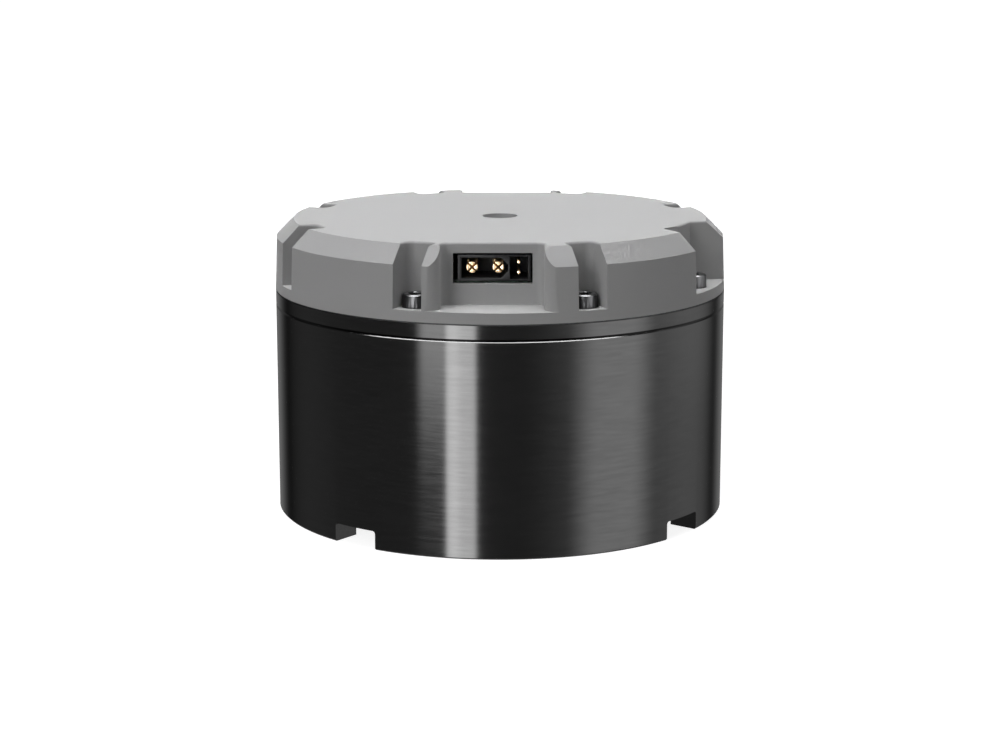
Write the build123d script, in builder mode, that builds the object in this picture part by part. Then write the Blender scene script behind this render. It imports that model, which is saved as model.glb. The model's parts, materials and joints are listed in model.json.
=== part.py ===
from build123d import *
from math import acos, cos, hypot, pi, radians, sin, sqrt, tan
import os

# Robot joint actuator, 92 mm across: an inner-rotor motor wrapped round a two-stage planetary
# gearbox, with a hollow shaft, a driver board and a connector at the front and at the back.
# Millimetres. +Z runs from the mounting rim to the rear cover, and -Y is the front.
# Polar angles turn from +X towards +Y. Heights are stacked upwards from the rim plane, z = 0.

FRONT = -90.0
BACK = 90.0

# Fits, all radial or per side
fixed_fit = 0.02
running_fit = 0.05
screw_clearance = 0.1

# Housing tube
body_wall = 7.0
rim_width = 6.0
recess_depth = 5.0
tube_step = 1.0
rim_edge = 0.3
parting_edge = 0.3

# Notches in the rim, placed by their angle from the front
notch_count = 4
notch_angle = -38.1
notch_width = 10.2
notch_height = 3.75
notch_corner = 0.6

# Tapped holes in the rim for the mounting screws, M4
rim_hole_count = 8
rim_hole_radius = 1.65
rim_hole_depth = 9.0

# Gearbox housing, with the ledge in the tube that it is screwed to
plate_thickness = 5.0
tube_ledge_thickness = 5.0
tube_ledge_width = 3.6
boss_wall = 2.2
boss_gap = 0.2
web_thickness = 1.8
sleeve_wall = 3.6
plate_screw_count = 8
plate_screw_inset = 2.8

# Output bearing, a crossed roller ring
bearing_section = 8.0
bearing_width = 8.0
race_gap = 0.6
race_web = 1.5
roller_end_gap = 0.1
roller_play = 0.02
roller_count = 24
retainer_thickness = 2.0
retainer_lap = 0.9
seal_width = 2.6
spanner_hole_radius = 0.9
snap_ring_thickness = 0.8
snap_ring_groove = 0.8
snap_ring_reach = 1.4
snap_ring_opening = 8.0

# Output flange, which is the second stage's carrier
flange_setback = 1.0
flange_lip = 1.5
flange_edge = 0.5
flange_hole_count = 8
flange_hole_inset = 4.0
flange_hole_radius = 1.65
flange_hole_depth = 7.0
dowel_spacing = 4.0
dowel_radius = 1.5
dowel_depth = 4.0
pilot_radius = 12.0
pilot_depth = 1.5
hub_stand = 1.0

# Gear train: the same 18-tooth sun and planets in both stages, inside one 54-tooth ring
module = 0.8
pressure_angle = radians(20)
sun_teeth = 18
planet_teeth = 18
backlash = 0.06
addendum = 0.95
ring_addendum = 0.8
dedendum = 1.25
planet_count = 3
first_planet_angle = 90.0
stage_2_face = 5.6
stage_1_face = 4.6
gear_gap = 0.4
ring_wall = 1.6
ring_flange_thickness = 1.5
carrier_plate_thickness = 2.3
carrier_plate_margin = 1.6
pin_radius = 2.5
pin_seat_depth = 7.0
bush_wall = 1.0

# Gearbox cap and the rotor's two ball bearings, 15 x 24 x 5
cap_clearance = 1.0
cap_thickness = 1.5
cap_hub_wall = 2.4
cap_screw_count = 6
rotor_bearing_section = 4.5
rotor_bearing_width = 5.0
rotor_bearing_race = 1.7
bearing_lip = 0.5
bearing_lip_width = 1.5

# Hollow shaft and rotor shaft
hollow_bore_radius = 3.6
hollow_shaft_wall = 0.8
shaft_end_gap = 0.4
shaft_gap = 0.6
rotor_shaft_wall = 1.28
rotor_shaft_flange = 0.8

# Motor
air_gap = 0.5
magnet_count = 20
magnet_thickness = 1.5
magnet_share = 0.88
rotor_ring_wall = 1.4
rotor_sleeve_gap = 0.8
rotor_foot_gap = 1.0
web_disc_thickness = 2.0
web_gap_below = 1.0
web_gap_above = 1.2
web_hub_wall = 2.0
web_hole_count = 6
slot_count = 18
tooth_width = 4.2
yoke_width = 2.0
slot_depth = 3.68
tooth_tip = 1.3
stator_slot_opening = 1.8
coil_overhang = 2.6
coil_side = 2.9
coil_gap = 0.2
coil_yoke_gap = 0.6
coil_clearance = 0.6
lead_radius = 1.0
lead_hole_gap = 0.6
lead_angles = (110.0, 130.0, 150.0)

# Rear end plate
end_plate_thickness = 2.9
spigot_height = 1.0
spigot_width = 2.2
plate_hub_wall = 3.0
plate_hub_lip = 1.0

# Rear cover
cover_flange_thickness = 2.4
cover_top_wall = 1.8
cover_wall = 1.8
cover_draft = 0.4
cover_chamfer = 3.5
cover_seat_width = 6.5
gasket_thickness = 0.3
gasket_width = 2.2
gasket_setback = 0.4

# Screw wells in the cover, and the M3 socket cap screws in them
well_count = 8
well_width = 5.9
well_depth = 7.5
well_corner = 1.5
crown_round = 0.5
cover_screw_circle = 41.5
spot_face_depth = 0.4
spot_face_gap = 0.12
cover_screw_length = 8.0
screw_hole_run_out = 0.5

# Relief cut beside the well on the right
relief_well = 1
relief_reach = 7.2
relief_mouth_angle = 14.2
relief_run_out = 1.3

# Connector pockets, seen from outside the one at the front
pocket_left = 11.3
pocket_right = 8.4
pocket_depth = 9.3
pocket_mouth_round = 2.8
pocket_corner = 1.5

# Connectors: two power pins 5 mm apart and two signal pins 2 mm apart
connector_width = 14.0
connector_height = 5.1
connector_left = 8.07
connector_length = 12.0
connector_setback = 0.7
connector_depth = 8.5
window_gap_left = 0.9
window_gap_right = 0.27
window_gap = 0.42
power_cavity_left = 0.78
power_cavity_width = 8.83
power_cavity_height = 3.83
power_cavity_chamfer = 1.3
signal_cavity_left = 10.0
signal_cavity_width = 3.4
signal_cavity_height = 4.3
power_pin_left = 2.76
power_pin_pitch = 5.0
power_pin_radius = 1.1
power_pin_slot = 0.35
power_pin_slot_depth = 4.0
signal_pin_left = 11.65
signal_pin_pitch = 2.0
signal_pin_radius = 0.33
pin_setback = 0.8
pin_tail = 1.5

# Driver board and what is on it
standoff_height = 5.27
standoff_radius = 2.4
standoff_count = 4
standoff_inset = 5.2
board_thickness = 1.6
board_wall_gap = 0.5
board_hole_gap = 1.6
connector_headroom = 0.63
transistor_size = (5.0, 6.0, 1.0)
transistor_columns = 2
transistor_rows = 3
transistor_pitch = 8.0
transistor_centre = (22.0, 0.0)
capacitor_radius = 3.15
capacitor_height = 5.2
capacitor_places = ((-28.0, 9.0), (-28.0, -9.0), (-14.0, 16.0), (-14.0, -16.0))
controller_size = (10.0, 10.0, 1.4)
controller_centre = (-19.0, 0.0)
encoder_size = (4.0, 4.0, 0.9)
encoder_angle = 180.0
magnet_ring_width = 2.5
magnet_ring_height = 3.2
output_ring_height = 2.0
encoder_air_gap = 0.5

# Screws: shank radius, head radius, head height, width across the hexagon, socket depth
M3 = (1.5, 2.75, 3.0, 2.5, 1.5)
M2_5 = (1.25, 2.25, 2.5, 2.0, 1.2)
M2_5_LOW = (1.25, 2.25, 1.5, 2.0, 0.8)
M2 = (1.0, 1.9, 1.2, 1.5, 0.7)
plate_screw_length = 6.5
cap_screw_length = 5.0
board_screw_length = 5.5

# Gear radii
sun_pitch = module * sun_teeth / 2
planet_pitch = module * planet_teeth / 2
ring_teeth = sun_teeth + 2 * planet_teeth
ring_pitch = module * ring_teeth / 2
planet_circle = sun_pitch + planet_pitch
sun_root = sun_pitch - dedendum * module
ring_root = ring_pitch + dedendum * module
ring_outer = ring_root + ring_wall
planet_angles = [first_planet_angle + 360 * i / planet_count for i in range(planet_count)]

# Heights, from the rim upwards
recess_z = recess_depth
bearing_z = recess_z + retainer_thickness
plate_top_z = recess_z + plate_thickness
tube_ledge_z = plate_top_z + tube_ledge_thickness
bearing_top_z = bearing_z + bearing_width
hub_top_z = bearing_top_z + hub_stand
web_z = hub_top_z + gear_gap / 2
web_top_z = web_z + web_thickness
stage_2_z = hub_top_z + gear_gap
carrier_plate_z = stage_2_z + stage_2_face + gear_gap
carrier_top_z = carrier_plate_z + carrier_plate_thickness
stage_1_z = carrier_top_z + gear_gap
stage_1_top_z = stage_1_z + stage_1_face
cap_z = stage_1_top_z + cap_clearance
sleeve_top_z = cap_z - ring_flange_thickness
lower_bearing_z = cap_z + bearing_lip
lower_bearing_top_z = lower_bearing_z + rotor_bearing_width
disc_z = lower_bearing_top_z + web_gap_below
disc_top_z = disc_z + web_disc_thickness
upper_bearing_z = disc_top_z + web_gap_above
seam_z = upper_bearing_z + rotor_bearing_width
parting_z = seam_z - end_plate_thickness
ledge_z = seam_z + cover_flange_thickness
board_z = seam_z + standoff_height
board_top_z = board_z + board_thickness
connector_top_z = board_top_z + connector_height
cover_roof_z = connector_top_z + connector_headroom
cover_top_z = cover_roof_z + cover_top_wall

# Radii of the motor and the tube, from the shaft outwards
hollow_outer = hollow_bore_radius + hollow_shaft_wall
sun_bore = hollow_outer + shaft_gap
sun_stem = sun_root
rotor_bearing_bore = sun_stem + fixed_fit + rotor_shaft_wall
rotor_bearing_outer = rotor_bearing_bore + rotor_bearing_section
sleeve_radius = ring_outer + sleeve_wall
rotor_ring_inner = sleeve_radius + rotor_sleeve_gap
rotor_ring_outer = rotor_ring_inner + rotor_ring_wall
magnet_outer = rotor_ring_outer + fixed_fit + magnet_thickness
stator_inner = magnet_outer + air_gap
slot_floor = stator_inner + tooth_tip + slot_depth
bore_radius = slot_floor + yoke_width
stator_radius = bore_radius - fixed_fit
body_radius = bore_radius + body_wall
rim_inner_radius = body_radius - rim_width
rim_screw_circle = body_radius - rim_width / 2
plate_radius = rim_inner_radius - fixed_fit
plate_screw_circle = rim_inner_radius - plate_screw_inset
tube_radius = bore_radius - tube_step
tube_ledge_radius = bore_radius - tube_ledge_width

# Radii of the output side, from the tube's ledge inwards
boss_radius = tube_ledge_radius - boss_gap
bearing_outer_radius = boss_radius - boss_wall
bearing_bore_radius = bearing_outer_radius - bearing_section
roller_circle = (bearing_bore_radius + bearing_outer_radius) / 2
groove_reach = bearing_section / 2 - race_web
roller_diameter = 2 * (groove_reach / sqrt(2) - roller_play)
retainer_radius = bearing_outer_radius + retainer_lap
flange_radius = bearing_bore_radius + flange_lip
flange_hole_circle = bearing_bore_radius - flange_hole_inset
dowel_circle = pilot_radius + dowel_spacing
seal_radius = flange_radius + running_fit + seal_width

# Coils, cover and board
coil_z = web_top_z + coil_clearance
coil_top_z = disc_z - coil_clearance
core_z = coil_z + coil_overhang
core_top_z = coil_top_z - coil_overhang
coil_inner = stator_inner + tooth_tip + coil_gap
coil_outer = slot_floor - coil_yoke_gap
lead_circle = (coil_inner + coil_outer) / 2
cover_shoulder_z = cover_top_z - cover_chamfer
crown_radius = body_radius - cover_draft - cover_chamfer
well_wall_radius = body_radius - well_depth
pocket_wall = body_radius - pocket_depth
board_radius = well_wall_radius - cover_wall - board_wall_gap
standoff_circle = board_radius - standoff_inset
well_angles = [FRONT + 360 * (i + 0.5) / well_count for i in range(well_count)]
notch_angles = [FRONT + notch_angle + 360 * i / notch_count for i in range(notch_count)]
rim_hole_start = FRONT + notch_angle + 180 / rim_hole_count


def polar(radius, angle):
    """The point at a radius and an angle in degrees."""
    return (radius * cos(radians(angle)), radius * sin(radians(angle)))


def save(name, part):
    """Labels a finished piece and writes it."""
    part.label = name
    export_step(part, f"parts/{name}.step")


def turned(points):
    """A ring or disc turned about Z from its half section, given as (radius, height)."""
    with BuildPart() as ring:
        with BuildSketch(Plane.XZ):
            Polygon(*points, align=None)
        revolve(axis=Axis.Z)
    return ring.part


def plain_ring(inner, outer, bottom, top):
    """A ring with a square section."""
    return turned([(inner, bottom), (outer, bottom), (outer, top), (inner, top)])


def cap_screw(sizes, length):
    """A socket cap screw that hangs from z = 0, where its head bears."""
    shank, head, height, across, socket = sizes
    with BuildPart() as screw:
        with BuildSketch():
            Circle(head)
        extrude(amount=height)
        with BuildSketch(Plane.XY.offset(height)):
            RegularPolygon(across / 2, 6, major_radius=False)
        extrude(amount=-socket, mode=Mode.SUBTRACT)
        with BuildSketch():
            Circle(shank)
        extrude(amount=-length)
    return screw.part


def screws_on_circle(sizes, length, radius, count, start, seat_z, facing=1):
    """A ring of equal screws, with their heads up, or down where facing is -1."""
    x_dir = (1, 0, 0)
    places = [
        Plane((*polar(radius, start + 360 * i / count), seat_z), x_dir=x_dir, z_dir=(0, 0, facing))
        for i in range(count)
    ]
    screw = cap_screw(sizes, length)
    with BuildPart() as group:
        with Locations(*places):
            add(screw)
    return group.part


# Gears


def involute(angle):
    return tan(angle) - angle


def half_tooth(teeth, radius, inward):
    """Half the angle across a tooth at a radius. The teeth of the ring gear point inward."""
    pitch = module * teeth / 2
    at_pitch = (pi * module / 2 - backlash) / (2 * pitch)
    roll = involute(pressure_angle) - involute(acos(min(pitch * cos(pressure_angle) / radius, 1)))
    return at_pitch - roll if inward else at_pitch + roll


def gear_outline(teeth, phase, inward=False):
    """The outline of a gear with involute flanks of two facets, with a tooth at the angle phase."""
    pitch = module * teeth / 2
    if inward:
        flank = [pitch + dedendum * module, pitch, pitch - ring_addendum * module]
    else:
        flank = [pitch - dedendum * module, pitch, pitch + addendum * module]
    points = []
    for i in range(teeth):
        middle = radians(phase + 360 * i / teeth)
        rise = [(r, middle - half_tooth(teeth, r, inward)) for r in flank]
        fall = [(r, middle + half_tooth(teeth, r, inward)) for r in reversed(flank)]
        points += [(r * cos(a), r * sin(a)) for r, a in rise + fall]
    return points


def sun_gear(bottom, face, stem_top):
    """A hollow sun gear with a plain stem above its teeth."""
    with BuildPart() as sun:
        with BuildSketch(Plane.XY.offset(bottom)):
            Polygon(*gear_outline(sun_teeth, first_planet_angle), align=None)
        extrude(amount=face)
        with BuildSketch(Plane.XY.offset(bottom + face)):
            Circle(sun_stem)
        extrude(amount=stem_top - bottom - face)
        with BuildSketch(Plane.XY.offset(bottom)):
            Circle(sun_bore)
        extrude(amount=stem_top - bottom, mode=Mode.SUBTRACT)
    return sun.part


def planet_gear(angle, bottom, face):
    """A planet gear at an angle round the sun, in mesh with a sun tooth that points at it."""
    phase = first_planet_angle + 180 / planet_teeth
    with BuildPart() as planet:
        with BuildSketch(Plane((*polar(planet_circle, angle), bottom))):
            Polygon(*gear_outline(planet_teeth, phase), align=None)
            Circle(pin_radius + running_fit + bush_wall + fixed_fit, mode=Mode.SUBTRACT)
        extrude(amount=face)
    return planet.part


def planet_bush(angle, bottom, face):
    """The bronze bush pressed into a planet gear."""
    inner = pin_radius + running_fit
    with BuildPart() as bush:
        with BuildSketch(Plane((*polar(planet_circle, angle), bottom))):
            Circle(inner + bush_wall)
            Circle(inner, mode=Mode.SUBTRACT)
        extrude(amount=face)
    return bush.part


def planet_pins(bottom, top):
    """The pins that a stage's planets turn on."""
    with BuildPart() as pins:
        with BuildSketch(Plane.XY.offset(bottom)):
            with PolarLocations(planet_circle, planet_count, start_angle=first_planet_angle):
                Circle(pin_radius)
        extrude(amount=top - bottom)
    return pins.part


def make_ring_gear():
    """The ring gear that both stages share, held by its top flange."""
    with BuildPart() as ring:
        with BuildSketch(Plane.XY.offset(web_z)):
            Circle(ring_outer - fixed_fit)
        extrude(amount=sleeve_top_z - web_z)
        with BuildSketch(Plane.XY.offset(sleeve_top_z)):
            Circle(sleeve_radius)
        extrude(amount=ring_flange_thickness)
        with BuildSketch(Plane.XY.offset(web_z)):
            Polygon(*gear_outline(ring_teeth, first_planet_angle, inward=True), align=None)
        extrude(amount=cap_z - web_z, mode=Mode.SUBTRACT)
        with BuildSketch(Plane.XY.offset(sleeve_top_z)):
            with PolarLocations((ring_outer + sleeve_radius) / 2, cap_screw_count):
                Circle(M2[0] + screw_clearance)
        extrude(amount=ring_flange_thickness, mode=Mode.SUBTRACT)
    return ring.part


def make_carrier_plate():
    """The first stage's carrier: a plate on the second sun's stem, lightened between its pins."""
    radius = planet_circle + pin_radius + carrier_plate_margin
    lightening = (planet_circle - sun_stem - 2 * carrier_plate_margin) / 2
    with BuildPart() as plate:
        with BuildSketch(Plane.XY.offset(carrier_plate_z)):
            Circle(radius)
            Circle(sun_stem + fixed_fit, mode=Mode.SUBTRACT)
            with PolarLocations(planet_circle, planet_count, start_angle=first_planet_angle):
                Circle(pin_radius + fixed_fit, mode=Mode.SUBTRACT)
            between = first_planet_angle + 180 / planet_count
            with PolarLocations((sun_stem + radius) / 2, planet_count, start_angle=between):
                Circle(lightening, mode=Mode.SUBTRACT)
        extrude(amount=carrier_plate_thickness)
    return plate.part


def make_gearbox_cap():
    """The cap that closes the gearbox and holds the rotor's lower bearing."""
    hub_radius = rotor_bearing_outer + cap_hub_wall
    lip_radius = rotor_bearing_outer - bearing_lip_width
    body = turned(
        [
            (lip_radius, cap_z),
            (sleeve_radius, cap_z),
            (sleeve_radius, cap_z + cap_thickness),
            (hub_radius, cap_z + cap_thickness),
            (hub_radius, lower_bearing_top_z),
            (rotor_bearing_outer, lower_bearing_top_z),
            (rotor_bearing_outer, lower_bearing_z),
            (lip_radius, lower_bearing_z),
        ]
    )
    with BuildPart() as cap:
        add(body)
        with BuildSketch(Plane.XY.offset(cap_z)):
            with PolarLocations((ring_outer + sleeve_radius) / 2, cap_screw_count):
                Circle(M2[0] + screw_clearance)
        extrude(amount=cap_thickness, mode=Mode.SUBTRACT)
    return cap.part


# Housing


def make_main_housing():
    """The tube: a notched rim, the ledge for the gearbox, the stator's bore and screw holes."""
    tube = turned(
        [
            (rim_inner_radius, 0),
            (body_radius - rim_edge, 0),
            (body_radius, rim_edge),
            (body_radius, parting_z - parting_edge),
            (body_radius - parting_edge, parting_z),
            (bore_radius, parting_z),
            (bore_radius, core_z),
            (tube_radius, core_z),
            (tube_radius, tube_ledge_z),
            (tube_ledge_radius, tube_ledge_z),
            (tube_ledge_radius, plate_top_z),
            (rim_inner_radius, plate_top_z),
        ]
    )
    with BuildPart() as housing:
        add(tube)
        for angle in notch_angles:
            across = Plane((0, 0, 0), x_dir=(*polar(1, angle + 90), 0), z_dir=(*polar(1, angle), 0))
            with BuildSketch(across.offset(rim_inner_radius - rim_width / 2)):
                RectangleRounded(notch_width, 2 * notch_height, notch_corner)
            extrude(amount=2 * rim_width, mode=Mode.SUBTRACT)
        with BuildSketch():
            with PolarLocations(rim_screw_circle, rim_hole_count, start_angle=rim_hole_start):
                Circle(rim_hole_radius)
        extrude(amount=rim_hole_depth, mode=Mode.SUBTRACT)
        with BuildSketch(Plane.XY.offset(plate_top_z)):
            with PolarLocations(plate_screw_circle, plate_screw_count, start_angle=well_angles[0]):
                Circle(M2_5[0] + fixed_fit)
        depth = plate_screw_length - plate_thickness + M2_5[2] + screw_clearance + screw_hole_run_out
        extrude(amount=depth, mode=Mode.SUBTRACT)
        with BuildSketch(Plane.XY.offset(parting_z)):
            with PolarLocations(cover_screw_circle, well_count, start_angle=well_angles[0]):
                Circle(M3[0] + fixed_fit)
        tapped = cover_screw_length - (ledge_z - spot_face_depth - parting_z) + screw_hole_run_out
        extrude(amount=-tapped, mode=Mode.SUBTRACT)
    return housing.part


def make_gearbox_housing():
    """The bearing seat, the plate screwed into the tube and the sleeve round the ring gear."""
    bearing_shoulder = bearing_outer_radius - boss_wall
    body = turned(
        [
            (retainer_radius + fixed_fit, recess_z),
            (plate_radius, recess_z),
            (plate_radius, plate_top_z),
            (boss_radius, plate_top_z),
            (boss_radius, web_top_z),
            (sleeve_radius, web_top_z),
            (sleeve_radius, sleeve_top_z),
            (ring_outer, sleeve_top_z),
            (ring_outer, web_z),
            (bearing_shoulder, web_z),
            (bearing_shoulder, bearing_top_z),
            (bearing_outer_radius, bearing_top_z),
            (bearing_outer_radius, bearing_z),
            (retainer_radius + fixed_fit, bearing_z),
        ]
    )
    with BuildPart() as housing:
        add(body)
        with BuildSketch(Plane.XY.offset(recess_z)):
            with PolarLocations(plate_screw_circle, plate_screw_count, start_angle=well_angles[0]):
                Circle(M2_5[0] + screw_clearance)
        extrude(amount=plate_thickness, mode=Mode.SUBTRACT)
        with BuildSketch(Plane.XY.offset(recess_z)):
            with PolarLocations(plate_screw_circle, plate_screw_count, start_angle=well_angles[0]):
                Circle(M2_5[1] + screw_clearance)
        extrude(amount=M2_5[2] + screw_clearance, mode=Mode.SUBTRACT)
        with BuildSketch(Plane.XY.offset(sleeve_top_z)):
            with PolarLocations((ring_outer + sleeve_radius) / 2, cap_screw_count):
                Circle(M2[0] + fixed_fit)
        depth = cap_screw_length - cap_thickness - ring_flange_thickness + screw_hole_run_out
        extrude(amount=-depth, mode=Mode.SUBTRACT)
    return housing.part


def make_end_plate():
    """The plate between the motor and the driver board, which holds the rotor's upper bearing."""
    hub_radius = rotor_bearing_outer + plate_hub_wall
    lip_radius = rotor_bearing_outer - bearing_lip_width
    spigot_radius = bore_radius - fixed_fit
    body = turned(
        [
            (rotor_bearing_outer, upper_bearing_z),
            (hub_radius, upper_bearing_z),
            (hub_radius, parting_z),
            (spigot_radius - spigot_width, parting_z),
            (spigot_radius - spigot_width, parting_z - spigot_height),
            (spigot_radius, parting_z - spigot_height),
            (spigot_radius, parting_z),
            (body_radius - parting_edge, parting_z),
            (body_radius, parting_z + parting_edge),
            (body_radius, seam_z),
            (hub_radius, seam_z),
            (hub_radius, seam_z + plate_hub_lip),
            (lip_radius, seam_z + plate_hub_lip),
            (lip_radius, seam_z),
            (rotor_bearing_outer, seam_z),
        ]
    )
    with BuildPart() as plate:
        add(body)
        with BuildSketch(Plane.XY.offset(parting_z)):
            with PolarLocations(cover_screw_circle, well_count, start_angle=well_angles[0]):
                Circle(M3[0] + screw_clearance)
            with Locations(*[polar(lead_circle, angle) for angle in lead_angles]):
                Circle(lead_radius + lead_hole_gap)
        extrude(amount=end_plate_thickness, mode=Mode.SUBTRACT)
    return plate.part


# Rear cover


def pocket_outline(x_sign, grow):
    """The plan of a connector pocket at the front, or turned to the back where x_sign is -1."""
    mouth = body_radius + pocket_mouth_round
    left = -(pocket_left + grow) * x_sign
    right = (pocket_right + grow) * x_sign
    wall = -(pocket_wall - grow) * x_sign
    return [(left, wall), (right, wall), (right, -mouth * x_sign), (left, -mouth * x_sign)]


def relief_outline(grow):
    """The plan of the cut that widens one screw well, out to its mouth on the side wall."""
    angle = well_angles[relief_well]
    axis_x, axis_y = polar(1, angle)

    def local(out, along):
        return (out * axis_x - along * axis_y, out * axis_y + along * axis_x)

    corner = local(well_wall_radius - grow, relief_reach + grow)
    mouth = polar(body_radius + grow, angle + relief_mouth_angle)
    beyond = tuple(c + relief_run_out * (m - c) for c, m in zip(corner, mouth))
    return [local(well_wall_radius - grow, 0), corner, beyond, local(body_radius * relief_run_out, 0)]


def cover_plan(radius, grow=0):
    """A disc less the pockets and the wells, which are grown by a wall for the cavity's plan."""
    with BuildSketch() as plan:
        Circle(radius)
        for sign in (1, -1):
            Polygon(*pocket_outline(sign, grow), align=None, mode=Mode.SUBTRACT)
        fillet(plan.vertices().filter_by(lambda v: hypot(v.X, v.Y) < radius - 0.01), pocket_corner)
        if grow == 0:
            rim = plan.vertices().filter_by(lambda v: hypot(v.X, v.Y) > radius - 0.01)
            fillet(rim.filter_by(lambda v: abs(v.X) < radius / 2), pocket_mouth_round)
        Polygon(*relief_outline(grow), align=None, mode=Mode.SUBTRACT)
        with PolarLocations(body_radius, well_count, start_angle=well_angles[0]):
            depth, width = well_depth + grow, well_width + 2 * grow
            RectangleRounded(2 * depth, width, well_corner + grow, mode=Mode.SUBTRACT)
    return plan.sketch


def pocket_plane(side, distance):
    """A plane across the front or back connector, whose x runs right as seen from outside."""
    turn = FRONT if side == "front" else BACK
    middle = board_top_z + connector_height / 2
    return Plane(
        (*polar(distance, turn), middle),
        x_dir=(*polar(1, turn + 90), 0),
        z_dir=(*polar(1, turn), 0),
    )


def on_crown(edge):
    """Whether an edge of the cover runs along the top of a well or a pocket."""
    middle = edge @ 0.5
    radius = hypot(middle.X, middle.Y)
    return middle.Z > cover_top_z - 0.01 and radius < crown_radius - 0.05


def make_rear_cover():
    """The cover: a drafted drum with a chamfered crown, wells, pockets, windows and a cavity."""
    gasket_inner = body_radius - gasket_setback - gasket_width
    outline = cover_plan(body_radius)
    cavity = cover_plan(body_radius - cover_seat_width, cover_wall)
    drum = turned(
        [
            (0, seam_z),
            (gasket_inner, seam_z),
            (gasket_inner, seam_z + gasket_thickness),
            (body_radius, seam_z + gasket_thickness),
            (body_radius - cover_draft, cover_shoulder_z),
            (crown_radius, cover_top_z),
            (0, cover_top_z),
        ]
    )
    with BuildPart() as cover:
        add(drum)
        with BuildSketch(Plane.XY.offset(ledge_z)):
            Circle(2 * body_radius)
            add(outline, mode=Mode.SUBTRACT)
        extrude(amount=cover_top_z - ledge_z, mode=Mode.SUBTRACT)
        fillet(cover.edges().filter_by(on_crown), crown_round)
        with BuildSketch(Plane.XY.offset(seam_z)):
            add(cavity)
        extrude(amount=cover_roof_z - seam_z, mode=Mode.SUBTRACT)
        window_left = connector_left + window_gap_left
        window_width = window_gap_left + connector_width + window_gap_right
        for side in ("front", "back"):
            with BuildSketch(pocket_plane(side, pocket_wall)):
                with Locations((window_width / 2 - window_left, 0)):
                    Rectangle(window_width, connector_height + 2 * window_gap)
            extrude(amount=-2 * cover_wall, mode=Mode.SUBTRACT)
        with BuildSketch(Plane.XY.offset(seam_z)):
            Circle(hollow_bore_radius)
        extrude(amount=cover_top_z - seam_z, mode=Mode.SUBTRACT)
        with BuildSketch(Plane.XY.offset(seam_z)):
            with PolarLocations(cover_screw_circle, well_count, start_angle=well_angles[0]):
                Circle(M3[0] + screw_clearance)
        extrude(amount=cover_flange_thickness, mode=Mode.SUBTRACT)
        with BuildSketch(Plane.XY.offset(ledge_z)):
            with PolarLocations(cover_screw_circle, well_count, start_angle=well_angles[0]):
                Circle(M3[1] + spot_face_gap)
        extrude(amount=-spot_face_depth, mode=Mode.SUBTRACT)
    return cover.part


# Connectors


def make_connector(side):
    """A board connector with a power cavity keyed by cut corners and a signal cavity."""
    face = pocket_plane(side, pocket_wall - connector_setback)
    with BuildPart() as connector:
        with BuildSketch(face):
            with Locations((connector_width / 2 - connector_left, 0)):
                Rectangle(connector_width, connector_height)
        extrude(amount=-connector_length)
        with BuildSketch(face):
            left = power_cavity_left - connector_left
            right = left + power_cavity_width
            top = power_cavity_height / 2
            step = power_cavity_chamfer
            Polygon(
                (left, -top),
                (right - step, -top),
                (right, step - top),
                (right, top - step),
                (right - step, top),
                (left, top),
                align=None,
            )
            middle = signal_cavity_left - connector_left + signal_cavity_width / 2
            with Locations((middle, 0)):
                Rectangle(signal_cavity_width, signal_cavity_height)
        extrude(amount=-connector_depth, mode=Mode.SUBTRACT)
        with BuildSketch(face):
            pin_holes(fixed_fit)
        extrude(amount=-connector_length, mode=Mode.SUBTRACT)
    return connector.part


def pin_holes(gap):
    """The round ends of all four pins, each widened by a gap, in the sketch that is open."""
    first = power_pin_left - connector_left
    with Locations((first, 0), (first + power_pin_pitch, 0)):
        Circle(power_pin_radius + gap)
    signal = signal_pin_left - connector_left
    with Locations((signal, signal_pin_pitch / 2), (signal, -signal_pin_pitch / 2)):
        Circle(signal_pin_radius + gap)


def make_connector_pins(side):
    """Two split power pins and two thin signal pins."""
    distance = pocket_wall - connector_setback - pin_setback
    face = pocket_plane(side, distance)
    first = power_pin_left - connector_left
    with BuildPart() as pins:
        with BuildSketch(face):
            pin_holes(0)
        extrude(amount=-(connector_length + pin_tail - pin_setback))
        with BuildSketch(face):
            with Locations((first, 0), (first + power_pin_pitch, 0)):
                Rectangle(3 * power_pin_radius, power_pin_slot, rotation=45)
                Rectangle(power_pin_slot, 3 * power_pin_radius, rotation=45)
        extrude(amount=-power_pin_slot_depth, mode=Mode.SUBTRACT)
    return pins.part


# Output side


def v_groove(radius, outward):
    """Half a crossed roller groove: its two lips at a race radius and its apex."""
    middle = (bearing_z + bearing_top_z) / 2
    apex = roller_circle + groove_reach if outward else roller_circle - groove_reach
    half = abs(apex - radius)
    return [(radius, middle - half), (apex, middle), (radius, middle + half)]


def make_bearing_inner():
    inner, outer = bearing_bore_radius + fixed_fit, roller_circle - race_gap / 2
    groove = v_groove(outer, outward=False)
    return turned(
        [(inner, bearing_z), (outer, bearing_z), *groove, (outer, bearing_top_z), (inner, bearing_top_z)]
    )


def make_bearing_outer():
    inner, outer = roller_circle + race_gap / 2, bearing_outer_radius - fixed_fit
    groove = v_groove(inner, outward=True)
    return turned(
        [(outer, bearing_z), (inner, bearing_z), *groove, (inner, bearing_top_z), (outer, bearing_top_z)]
    )


def make_bearing_rollers():
    """Rollers with their axes leaning in and out in turn."""
    middle = (bearing_z + bearing_top_z) / 2
    length = roller_diameter - 2 * roller_end_gap
    with BuildPart() as rollers:
        for i in range(roller_count):
            angle = 360 * i / roller_count
            lean = 1 if i % 2 else -1
            axis = (*polar(1, angle), lean)
            with BuildSketch(Plane((*polar(roller_circle, angle), middle), z_dir=axis)):
                Circle(roller_diameter / 2)
            extrude(amount=length / 2, both=True)
    return rollers.part


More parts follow.
